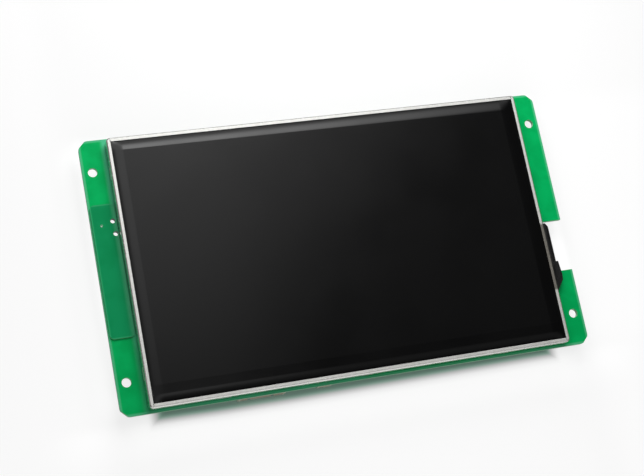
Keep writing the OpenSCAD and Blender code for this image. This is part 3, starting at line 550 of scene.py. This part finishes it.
class Growth(Nodes):
    """A geometry node tree with named sizes, used on a mesh of points or lines."""

    def __init__(self, name, **sizes):
        super().__init__(bpy.data.node_groups.new(name, "GeometryNodeTree"))
        self.sizes = sizes
        self.ids = {}
        self.open_socket("Geometry", "NodeSocketGeometry")
        self.tree.interface.new_socket("Geometry", in_out="OUTPUT", socket_type="NodeSocketGeometry")
        for label in sizes:
            self.open_socket(label, "NodeSocketFloat")
        self.open_socket("Finish", "NodeSocketMaterial")
        self.start = self.add("NodeGroupInput").outputs
        self.stop = self.add("NodeGroupOutput").inputs

    def open_socket(self, label, kind):
        socket = self.tree.interface.new_socket(label, in_out="INPUT", socket_type=kind)
        self.ids[label] = socket.identifier

    def vector(self, x, y, z):
        return self.add("ShaderNodeCombineXYZ", {0: x, 1: y, 2: z}).outputs[0]

    def attribute(self, name, kind):
        n = self.add("GeometryNodeInputNamedAttribute", {"Name": name}, data_type=kind)
        return n.outputs["Attribute"]

    def moved(self, shape, **values):
        return self.add("GeometryNodeTransform", {"Geometry": shape, **values}).outputs["Geometry"]

    def block(self, x, y, z, at):
        cube = self.add("GeometryNodeMeshCube", {"Size": self.vector(x, y, z)}).outputs["Mesh"]
        return self.moved(cube, Translation=at)

    def joined(self, *shapes):
        n = self.add("GeometryNodeJoinGeometry")
        for shape in reversed(shapes):
            self.put(shape, n.inputs["Geometry"])
        return n.outputs["Geometry"]

    def on_points(self, shape, scale=(1, 1, 1)):
        turn = self.vector(0.0, 0.0, self.attribute("turn", "FLOAT"))
        n = self.add("GeometryNodeInstanceOnPoints", {
            "Points": self.start["Geometry"], "Instance": shape, "Rotation": turn, "Scale": scale})
        return n.outputs["Instances"]

    def close(self, shape):
        whole = self.add("GeometryNodeRealizeInstances", {"Geometry": shape}).outputs["Geometry"]
        flat = self.add("GeometryNodeSetShadeSmooth", {"Geometry": whole, "Shade Smooth": False})
        done = self.add("GeometryNodeSetMaterial", {
            "Geometry": flat.outputs["Geometry"], "Material": self.start["Finish"]})
        self.put(done.outputs["Geometry"], self.stop["Geometry"])
        return self

    def piece(self, name, base, finish, slot, replaces=(), **changed):
        holder = bpy.data.objects.new(name, base)
        scene.collection.objects.link(holder)
        work = holder.modifiers.new("growth", "NODES")
        work.node_group = self.tree
        for label, value in {**self.sizes, **changed}.items():
            work[self.ids[label]] = float(value)
        work[self.ids["Finish"]] = finish.material
        grown = holder.evaluated_get(bpy.context.evaluated_depsgraph_get())
        mesh = bpy.data.meshes.new_from_object(grown)
        holder.modifiers.clear()
        holder.data = mesh
        bpy.data.meshes.remove(base)
        mesh.name = name
        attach(holder, "root")
        if replaces:
            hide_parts(*replaces)


def points(spots):
    """A mesh of single points from (x, y, turn in degrees, size), in mm on the underside of the board."""
    mesh = bpy.data.meshes.new("points")
    mesh.from_pydata([(x * mm, y * mm, 0) for x, y, turn, size in spots], [], [])
    turns = mesh.attributes.new("turn", "FLOAT", "POINT")
    turns.data.foreach_set("value", [math.radians(turn) for x, y, turn, size in spots])
    sizes = mesh.attributes.new("size", "FLOAT_VECTOR", "POINT")
    sizes.data.foreach_set("vector", [part * mm for x, y, turn, size in spots for part in size])
    return mesh


def lines(paths):
    """A mesh of open or closed lines, in mm on the underside of the board."""
    verts, edges = [], []
    for path, closed in paths:
        first = len(verts)
        verts += [(x * mm, y * mm, 0) for x, y in path]
        edges += [(first + i, first + i + 1) for i in range(len(path) - 1)]
        if closed:
            edges.append((len(verts) - 1, first))
    mesh = bpy.data.meshes.new("lines")
    mesh.from_pydata(verts, edges, [])
    return mesh


chip_size = {"Length": 1.6 * mm, "Width": 0.8 * mm, "Height": 0.8 * mm, "End": 0.32 * mm}
flat_chip = {"Height": 0.45 * mm, "End": 0.26 * mm}


def chip_body_growth():
    g = Growth("chip_bodies", **chip_size, Step=0.04 * mm)
    long, wide, high = g.start["Length"], g.start["Width"], g.start["Height"]
    inner = g.math("SUBTRACT", long, g.start["End"])
    slim = g.math("SUBTRACT", wide, g.start["Step"])
    low = g.math("SUBTRACT", high, g.start["Step"])
    body = g.block(inner, slim, low, g.vector(0.0, 0.0, g.times(high, -0.5)))
    return g.close(g.on_points(body))


def chip_end_growth():
    g = Growth("chip_ends", **chip_size)
    long, wide, high, end = g.start["Length"], g.start["Width"], g.start["Height"], g.start["End"]
    out = g.times(g.math("SUBTRACT", long, end), 0.5)
    back = g.times(out, -1.0)
    middle = g.times(high, -0.5)
    caps = [g.block(end, wide, high, g.vector(at, 0.0, middle)) for at in (out, back)]
    return g.close(g.on_points(g.joined(*caps)))


def solder_growth():
    """A fillet of solder that leans on each end of a chip part."""
    g = Growth("solder_fillets", Length=1.6 * mm, Reach=0.45 * mm, Width=0.9 * mm, Height=0.35 * mm)
    reach, wide, high = g.start["Reach"], g.start["Width"], g.start["Height"]
    cone = g.add("GeometryNodeMeshCone", {
        "Vertices": 12, "Radius Top": 0.55, "Radius Bottom": 1.0, "Depth": 1.0}).outputs["Mesh"]
    drop = g.moved(cone, Rotation=(math.pi, 0, 0), Scale=g.vector(reach, g.times(wide, 0.5), high))
    side = g.times(g.start["Length"], 0.5)
    lap = g.times(reach, 0.4)
    places = (g.math("SUBTRACT", side, lap), g.math("SUBTRACT", lap, side))
    fillets = [g.moved(drop, Translation=g.vector(at, 0.0, 0.0)) for at in places]
    return g.close(g.on_points(g.joined(*fillets)))


def pad_growth():
    g = Growth("pads", Thickness=0.035 * mm)
    cube = g.add("GeometryNodeMeshCube", {"Size": (1, 1, 2)}).outputs["Mesh"]
    x, y = g.axes(g.attribute("size", "FLOAT_VECTOR"))[:2]
    return g.close(g.on_points(cube, g.vector(x, y, g.start["Thickness"])))


def disc_growth(name):
    g = Growth(name, Radius=0.3 * mm, Thickness=0.02 * mm)
    disc = g.add("GeometryNodeMeshCylinder", {
        "Vertices": 14, "Radius": g.start["Radius"],
        "Depth": g.times(g.start["Thickness"], 2.0)}).outputs["Mesh"]
    return g.close(g.on_points(disc))


def strip_growth(name):
    """Flat strips of one width along the given lines."""
    g = Growth(name, Width=0.2 * mm, Thickness=0.02 * mm)
    path = g.add("GeometryNodeMeshToCurve", {"Mesh": g.start["Geometry"]}).outputs["Curve"]
    path = g.add("GeometryNodeSetCurveNormal", {"Curve": path}, mode="Z_UP").outputs["Curve"]
    height = g.times(g.start["Thickness"], 2.0)
    section = g.add("GeometryNodeCurvePrimitiveQuadrilateral", {
        "Width": g.start["Width"], "Height": height}).outputs["Curve"]
    strip = g.add("GeometryNodeCurveToMesh", {
        "Curve": path, "Profile Curve": section, "Fill Caps": True}).outputs["Mesh"]
    return g.close(strip)


# Places on the back of the board, in mm

edge_right, edge_top = board_high.x / mm, board_high.y / mm
edge_left, edge_bottom = -edge_right, -edge_top
plug_x, plug_y = [v / mm for v in ((plug_low + plug_high) / 2).xy]
processor_at, memory_at, flash_at, crystal_at = (10, 4), (38, 6), (10, -20), (-10, -12)
regulators_at = [(edge_left + 36.8, edge_bottom + 32), (edge_right - 44.8, edge_bottom + 18)]
inductors_at = [(edge_left + 22.8, edge_bottom + 36), (edge_right - 32.8, edge_bottom + 24)]
diodes_at = [(edge_left + 38.8, edge_bottom + 21), (edge_right - 30.8, edge_bottom + 10)]
cans_at = [
    (edge_left + 20.8, edge_bottom + 16), (edge_left + 30.8, edge_bottom + 14),
    (edge_right - 20.8, edge_bottom + 16), (edge_left + 18.8, edge_top - 18),
    (edge_right - 42.8, edge_top - 14)]
buzzer_at = (edge_right - 24.8, edge_top - 18)
header_x, speaker_x, card_x = edge_left + 52.8, edge_left + 76.8, 4
header_pitch, card_pitch = 2, 1.1
holder_at = (edge_left + 54.8, edge_top - 24)

# Rows of chip parts: x and y of the first, how many, and the step in x and y

capacitor_rows = [
    (-1.5, 16, 8, 3, 0), (-1, -8.5, 5, 3, 0), (46.5, -3, 7, 0, 3), (29.5, -3, 6, 0, 3.4),
    (edge_left + 42.8, edge_bottom + 25, 3, 3, 0), (edge_left + 26.8, edge_bottom + 25, 3, 3, 0),
    (edge_right - 38.3, edge_bottom + 12, 3, 0, 3), (edge_right - 30.8, edge_top - 30, 4, 3, 0)]
resistor_rows = [
    (-2.5, -4, 6, 0, 3), (22.5, -4, 6, 0, 3), (3, -27, 5, 3, 0), (-20, -34, 4, 3, 0),
    (edge_left + 70.8, edge_top - 18, 5, 0, 2.6), (edge_left + 28.8, edge_bottom + 44, 4, 3, 0),
    (edge_right - 52.8, edge_bottom + 24, 4, 3, 0), (plug_x - 12, -6, 4, 0, 3)]
unit = (1, 1, 1)


def row_points(rows):
    return points([(x + i * dx, y + i * dy, 90 if dx else 0, unit)
                   for x, y, n, dx, dy in rows for i in range(n)])


def grow_chip_parts(tan, dark, tin, solder):
    bodies, ends, fillets = chip_body_growth(), chip_end_growth(), solder_growth()
    bodies.piece("capacitor_bodies", row_points(capacitor_rows), tan, "ceramic_tan", ["chip_capacitors"])
    bodies.piece("resistor_bodies", row_points(resistor_rows), dark, "ceramic_dark", ["chip_resistors"],
                 **flat_chip)
    ends.piece("capacitor_ends", row_points(capacitor_rows), tin, "shell_steel")
    ends.piece("resistor_ends", row_points(resistor_rows), tin, "shell_steel", **flat_chip)
    fillets.piece("chip_solder", row_points(capacitor_rows + resistor_rows), solder, "shell_steel")


def pair(x, y, dx, dy, size):
    """Two pads of one size on opposite sides of a place."""
    return [(x + s * dx, y + s * dy, 0, (*size, 1)) for s in (-1, 1)]


def grow_pads(tin):
    spots = []
    for at in cans_at:
        spots += pair(*at, 0, 2.9, (1.6, 2.6))
    for at in inductors_at:
        spots += pair(*at, 3.2, 0, (1.7, 5.4))
    for at in diodes_at:
        spots += pair(*at, 2.5, 0, (1.8, 1.9))
    spots += pair(*crystal_at, 5.4, 0, (2.2, 1.4))
    spots += [(header_x + (i - 3.5) * header_pitch, edge_bottom + 9.9, 0, (1.0, 2.4, 1))
              for i in range(8)]
    spots += pair(header_x, edge_bottom + 4, 9.2, 0, (1.6, 3.0))
    spots += pair(speaker_x, edge_bottom + 5.8, 0.625, 0, (0.7, 1.7))
    spots += pair(speaker_x, edge_bottom + 2.4, 2.8, 0, (1.0, 1.8))
    spots += pair(*holder_at, 8.4, 0, (2.6, 5.8))
    for from_top in (3.6, 13.0):
        spots += pair(card_x, edge_top - from_top, 7.3, 0, (1.3, 1.6))
    spots += [(card_x + (i - 3.5) * card_pitch, edge_top - 15.9, 0, (0.65, 1.5, 1)) for i in range(8)]
    spots += pair(*buzzer_at, 6.6, 0, (1.4, 2.6))

    # Leads of the chips: how many on a side, their pitch, and how far out; the processor has four sides
    chips = [(processor_at, 25, 0.5, 7.75), (memory_at, 27, 0.8, 5.85), (flash_at, 4, 1.27, 3.4)]
    chips += [(at, 4, 1.27, 2.7) for at in regulators_at]
    for (x, y), count, pitch, reach in chips:
        long, wide = 1.1, pitch * 0.56
        for k in range(count):
            v = (k - (count - 1) / 2) * pitch
            spots += pair(x, y + v, reach, 0, (long, wide))
            if (x, y) == processor_at:
                spots += pair(x + v, y, 0, reach, (wide, long))
    pad_growth().piece("solder_pads", points(spots), tin, "shell_steel")


memory_lines = 13


def signal_paths():
    """Fine copper lines: first to the memory, then to the plug, card socket, header and flash chip."""
    paths = []
    bend = 0.6
    (px, py), (mx, my) = processor_at, memory_at
    for i in range(memory_lines):
        a, b = py + (i - 6) * 1.0, my + (i - 6) * 1.6
        paths.append([(px + 8.4, a), (px + 9.6, a), (px + 9.6 + abs(b - a), b), (mx - 6.7, b)])
    for i in range(12):
        x0, low = px + 5.6 - i * 1.0, -12.4 - i * 0.42
        y1 = plug_y - 3.3 + i * 0.6
        lane = plug_x - 5.2 - (11 - i) * 0.42
        way = bend if y1 > low else -bend
        paths.append([(x0, py - 8.4), (x0, low + bend), (x0 + bend, low), (lane - bend, low),
                      (lane, low + way), (lane, y1 - way), (lane + bend, y1), (plug_x - 2.6, y1)])
    for i in range(8):
        x0, x1 = px - 3.5 + i * 1.0, card_x + (i - 3.5) * card_pitch
        y = 21.0 + i * 0.45
        way = bend if x0 > x1 else -bend
        paths.append([(x0, py + 8.4), (x0, y), (x1 + way, y), (x1, y + bend), (x1, edge_top - 17)])
    for i in range(6):
        y0, x1 = py - 2.5 + i * 1.0, header_x + (i - 2.5) * header_pitch
        low, lane = -24.5 + i * 0.5, -7.1 - i * 0.5
        paths.append([(px - 8.4, y0), (lane + bend, y0), (lane, y0 - bend), (lane, low + bend),
                      (lane - bend, low), (x1 + bend, low), (x1, low - bend), (x1, edge_bottom + 11.4)])
    for i in range(4):
        y0, lane = flash_at[1] + (i - 1.5) * 1.27, -0.1 - i * 0.5
        paths.append([(flash_at[0] - 3.8, y0), (lane + bend, y0), (lane, y0 + bend), (lane, -5)])
    return paths


def supply_paths():
    """Broad copper lines of the supplies."""
    (ax, ay), (bx, by) = inductors_at
    (cx, cy), (dx, dy) = regulators_at
    (hx, hy), (zx, zy) = holder_at, buzzer_at
    first_pin = header_x - 3.5 * header_pitch
    low = edge_bottom
    return [
        [(first_pin, low + 11.6), (first_pin, low + 16), (ax + 6, low + 26)],
        [(ax + 4, ay), (cx - 4, cy)],
        [(ax - 4, ay), (ax - 7, ay - 3), (ax - 7, low + 10), (ax + 4, low + 9)],
        [(bx - 4, by), (dx + 3.4, dy + 2)],
        [(bx + 4, by), (bx + 9, by - 5), (bx + 9, low + 12)],
        [(cx + 4, cy), (-30, cy), (-26, cy + 4), (-26, 8), (-16, 18), (-4, 18)],
        [(hx + 9, hy), (-18, hy), (-14, 24), (-9.25, 19.25)],
        [(zx - 7.6, zy), (50, zy - 10), (46, 22), (40, 21)]]


def outline_paths():
    """Thin printed outlines round the parts, without any lettering."""
    shapes = []

    def box(x, y, hx, hy):
        gap = 0.35
        hx, hy = hx + gap, hy + gap
        shapes.append(([(x - hx, y - hy), (x + hx, y - hy), (x + hx, y + hy), (x - hx, y + hy)], True))

    def ring(x, y, r):
        steps = 40
        turns = [2 * math.pi * i / steps for i in range(steps)]
        shapes.append(([(x + r * math.cos(turn), y + r * math.sin(turn)) for turn in turns], True))

    reach, leg = 8.1, 1.2
    for sx in (-1, 1):
        for sy in (-1, 1):
            x, y = processor_at[0] + sx * reach, processor_at[1] + sy * reach
            shapes.append(([(x - sx * leg, y), (x, y), (x, y - sy * leg)], False))
    box(*memory_at, 6.3, 11.1)
    box(*flash_at, 4.0, 2.6)
    box(*crystal_at, 6.6, 2.4)
    for at in regulators_at:
        box(*at, 3.3, 2.5)
    for at in inductors_at:
        box(*at, 4.0, 3.7)
    for x, y in diodes_at:
        box(x, y, 3.5, 1.5)
        shapes.append(([(x - 1.2, y - 2.3), (x - 1.2, y - 1.8)], False))
    half, cut = 3.75, 1.4
    for x, y in cans_at:
        left, right, low, high = x - half, x + half, y - half, y + half
        shapes.append(([(left, low), (left, high), (right - cut, high), (right, high - cut),
                        (right, low + cut), (right - cut, low)], True))
    ring(*holder_at, 7.9)
    ring(*buzzer_at, 8.2)
    box(header_x, edge_bottom + 4.6, 9.2, 4.0)
    box(speaker_x, edge_bottom + 2.8, 2.7, 2.2)
    box(card_x, edge_top - 8.2, 7.2, 7.4)
    box(plug_x, plug_y, 2.8, 8.2)
    return shapes


def via_spots(fine):
    """Vias at the ends of all fine lines but the memory's, and in two rows that spare the coin cell."""
    spots = [(x, y, 0, unit) for path in fine[memory_lines:] for x, y in (path[0], path[-1])]
    for x in range(-76, 80, 4):
        spots.append((x, -33.5, 0, unit))
        if abs(x - holder_at[0]) > 10:
            spots.append((x, 27.5, 0, unit))
    return spots


def grow_copper(copper, broad, plated, bore, print_white):
    strips = strip_growth("copper_lines")
    fine = signal_paths()
    strips.piece("signal_lines", lines([(path, False) for path in fine]), copper, "board_green",
                 Width=0.2 * mm)
    strips.piece("supply_lines", lines([(path, False) for path in supply_paths()]), broad, "board_green",
                 Width=1.5 * mm, Thickness=0.018 * mm)
    strips.piece("part_outlines", lines(outline_paths()), print_white, "moulding_white",
                 Width=0.2 * mm, Thickness=0.026 * mm)
    spots = via_spots(fine)
    rings = disc_growth("via_rings")
    rings.piece("via_rings", points(spots), plated, "contact_gold", Radius=0.32 * mm, Thickness=0.03 * mm)
    rings.piece("via_bores", points(spots), bore, "chip_black", Radius=0.14 * mm, Thickness=0.034 * mm)


# Finishes of the back and of the layers behind the screen

def can_finish():
    """Drawn aluminium with a dark printed segment on the top of each can."""
    f = Finish("drawn_aluminium")
    x, y, z = f.axes()
    half, chord = 3.4 * mm, -1.5 * mm
    segment = 0.0
    for cx, cy in cans_at:
        near_x = f.math("LESS_THAN", f.off(x, cx * mm), half)
        near_y = f.math("LESS_THAN", f.off(y, cy * mm), half)
        past = f.math("LESS_THAN", f.math("SUBTRACT", y, cy * mm), chord)
        segment = f.math("MAXIMUM", f.times(near_x, past, near_y), segment)
    segment = f.times(segment, f.math("LESS_THAN", z, floor_level + 0.02 * mm))
    drawn = f.noise(0.6 * mm, 4, 0.6, f.stretched(1, 1, 0.1))
    bare = f.blend(drawn, colour(205, 207, 209), colour(222, 223, 224))
    f.shade("Base Color", f.blend(segment, bare, colour(34, 35, 38)))
    f.shade("Metallic", f.math("SUBTRACT", 1.0, segment))
    f.shade("Roughness", f.ramp(drawn, 0.3, 0.7, 0.24, 0.36))
    f.bump(drawn, 0.004 * mm)
    return f


def cell_finish():
    """Steel turned in fine rings."""
    f = Finish("cell_steel", Metallic=1.0)
    rings = f.waves(f.distance(holder_at[0] * mm, holder_at[1] * mm), 0.12 * mm)
    f.shade("Base Color", f.blend(f.noise(1.5 * mm, 3), colour(196, 197, 196), colour(214, 215, 214)))
    f.shade("Roughness", f.ramp(f.noise(0.8 * mm), 0.3, 0.7, 0.26, 0.38))
    f.bump(rings, 0.002 * mm)
    return f


def crystal_finish():
    """A brushed can on a dark base."""
    f = Finish("crystal_can")
    z = f.axes()[2]
    can = f.ramp(z, -0.83 * mm, -0.80 * mm, 1, 0)
    brushed = f.noise(0.35 * mm, 4, 0.6, f.stretched(0.1, 1, 1))
    steel = f.blend(brushed, colour(196, 198, 200), colour(216, 217, 218))
    f.shade("Base Color", f.blend(can, colour(30, 30, 32), steel))
    f.shade("Metallic", can)
    f.shade("Roughness", f.ramp(brushed, 0.3, 0.7, 0.26, 0.4))
    f.bump(brushed, 0.004 * mm)
    return f


def copper_under_mask(name, low, high):
    f = Finish(name, Specular_IOR_Level=0.06)
    f.shade("Base Color", f.blend(f.ramp(f.noise(6 * mm, 2), 0.35, 0.65), colour(*low), colour(*high)))
    lay_weave(f, 0.3, 0.4, 0.008)
    return f


def optical_glass(name):
    f = Finish(name, Transmission_Weight=0.85, IOR=1.51)
    f.shade("Base Color", f.blend(f.noise(30 * mm, 2), colour(206, 216, 214), colour(216, 224, 222)))
    f.shade("Roughness", f.ramp(f.noise(12 * mm, 3), 0.3, 0.7, 0.02, 0.05))
    return f


def ribbed_film():
    """Prism film: fine ribs along X."""
    f = Finish("prism_film")
    y = f.axes()[1]
    ribs = f.waves(y, 0.2 * mm)
    f.shade("Base Color", f.blend(f.noise(8 * mm, 2), colour(226, 229, 232), colour(234, 236, 238)))
    f.shade("Roughness", f.ramp(ribs, -1, 1, 0.22, 0.34))
    f.bump(ribs, 0.02 * mm)
    return f


def strip_finish():
    """Amber film over fine tracks along Y."""
    f = Finish("amber_strip")
    x = f.axes()[0]
    tracks = f.ramp(f.waves(x, 0.6 * mm), -0.2, 0.2)
    f.shade("Base Color", f.blend(tracks, colour(168, 104, 30), colour(188, 124, 44)))
    f.shade("Roughness", f.ramp(f.noise(0.8 * mm), 0.3, 0.7, 0.34, 0.48))
    f.bump(tracks, 0.01 * mm)
    return f


def dress_back():
    black = plain_finish("moulded_black", (24, 24, 26), (33, 33, 35), 1.2, (0.46, 0.6), 0.006)
    matt_black = plain_finish("dull_black", (19, 19, 20), (26, 26, 27), 0.8, (0.6, 0.75), 0.01)
    ivory = plain_finish("moulded_ivory", (224, 217, 196), (233, 227, 209), 2.2, (0.4, 0.52), 0.005)
    white = plain_finish("moulded_white", (228, 229, 228), (236, 237, 236), 3.0, (0.42, 0.55), 0.005)
    sheet_white = plain_finish("white_film", (232, 233, 234), (240, 241, 241), 6.0, (0.5, 0.62))
    tape = plain_finish("foam_tape", (222, 222, 218), (234, 234, 231), 0.5, (0.75, 0.9), 0.03)
    rubber = plain_finish("gasket_foam", (20, 20, 21), (30, 30, 31), 0.4, (0.8, 0.92), 0.03)
    adhesive = plain_finish("adhesive", (14, 14, 15), (20, 20, 21), 1.0, (0.3, 0.45))
    polariser = plain_finish("polariser", (20, 20, 23), (25, 25, 28), 18.0, (0.14, 0.2))
    gold = metal_finish("gold_plate", (206, 164, 84), (222, 182, 104), 0.4, (0.2, 0.32))
    tin = metal_finish("tinned", (196, 198, 199), (216, 217, 218), 0.4, (0.24, 0.38), 0.004)
    solder = metal_finish("solder", (186, 188, 190), (208, 209, 210), 0.3, (0.26, 0.42), 0.01)
    steel = metal_finish("plate_steel", (178, 180, 181), (194, 195, 196), 1.6, (0.34, 0.46), 0.004)
    shell = metal_finish("shell_steel", (196, 197, 197), (212, 213, 212), 1.1, (0.26, 0.38), 0.003)
    ferrite = plain_finish("ferrite", (52, 52, 54), (66, 65, 66), 0.35, (0.55, 0.72), 0.015)
    core = plain_finish("ferrite_core", (68, 66, 64), (82, 80, 77), 0.35, (0.55, 0.72), 0.015)
    diode = plain_finish("phosphor", (232, 220, 150), (240, 230, 170), 0.6, (0.4, 0.55))
    stiffener = plain_finish("stiffener", (150, 112, 52), (166, 128, 66), 0.7, (0.4, 0.55), 0.004)
    silicon = plain_finish("driver_silicon", (70, 72, 80), (84, 86, 94), 1.5, (0.16, 0.26))
    tan = plain_finish("tan_ceramic", (166, 134, 98), (180, 148, 112), 0.4, (0.45, 0.6), 0.004)
    dark = plain_finish("dark_glaze", (28, 28, 30), (38, 38, 40), 0.5, (0.3, 0.42))
    bore = plain_finish("via_shade", (22, 40, 28), (30, 50, 36), 0.2, (0.6, 0.75))
    print_white = plain_finish("part_print", (214, 220, 214), (226, 231, 226), 0.4, (0.6, 0.75))
    copper = copper_under_mask("masked_copper", (58, 196, 124), (68, 204, 134))
    broad = copper_under_mask("masked_supply", (44, 188, 114), (52, 194, 120))

    for names, finish in (
            ("touch_spacer", adhesive),
            ("touch_glass front_glass rear_glass", optical_glass("clear_glass")),
            ("screen_gasket", rubber),
            ("front_polariser rear_polariser", polariser),
            ("driver_chips", silicon),
            ("moulded_frame", white),
            ("upper_prism_film lower_prism_film", ribbed_film()),
            ("diffuser_film light_guide reflector_film", sheet_white),
            ("light_strip", strip_finish()),
            ("light_diodes", diode),
            ("back_plate", steel),
            ("mounting_tape", tape),
            ("flex_plug flex_receptacle buzzer_base card_socket_base cell_holder", black),
            ("capacitor_bases buzzer", matt_black),
            ("flex_stiffener", stiffener),
            ("receptacle_contacts header_pins speaker_pins", gold),
            ("crystal", crystal_finish()),
            ("power_inductors", ferrite),
            ("inductor_cores", core),
            ("capacitor_cans", can_finish()),
            ("header_housing speaker_header", ivory),
            ("card_socket_shell cell_clip", shell),
            ("coin_cell", cell_finish())):
        for name in names.split():
            dress(name, finish)

    # Chip packages: half sizes of the moulded body, and place and radius of the dimple
    for name, finish_name, places, half, dimple in (
            ("processor", "processor_package", [processor_at], (7, 7), (-5.4, 5.4, 0.6)),
            ("memory_chip", "memory_package", [memory_at], (5.1, 11.1), (-3.8, 9.8, 0.5)),
            ("flash_chip", "flash_package", [flash_at], (2.65, 2.5), (-1.8, 1.7, 0.3)),
            ("regulators", "regulator_package", regulators_at, (1.95, 2.45), (-1.2, 1.7, 0.3)),
            ("rectifier_diodes", "diode_package", diodes_at, (2.15, 1.3), None)):
        bodies = [(*at, *half) for at in places]
        dimples = [(x + dimple[0], y + dimple[1], dimple[2]) for x, y in places] if dimple else []
        dress(name, package_finish(finish_name, bodies, dimples))

    grow_chip_parts(tan, dark, tin, solder)
    grow_pads(tin)
    grow_copper(copper, broad, gold, bore, print_white)


place_camera()
light_room()
hang_lamp()
lay_floor()
dress("main_board", board_finish())
dress("side_board", side_board_finish())
dress("front_bezel", bezel_finish())
make_touch_film(film_finish())
black_flex = flex_finish()
dress("lcd_flex", black_flex)
dress("touch_tail", black_flex)
dress_back()
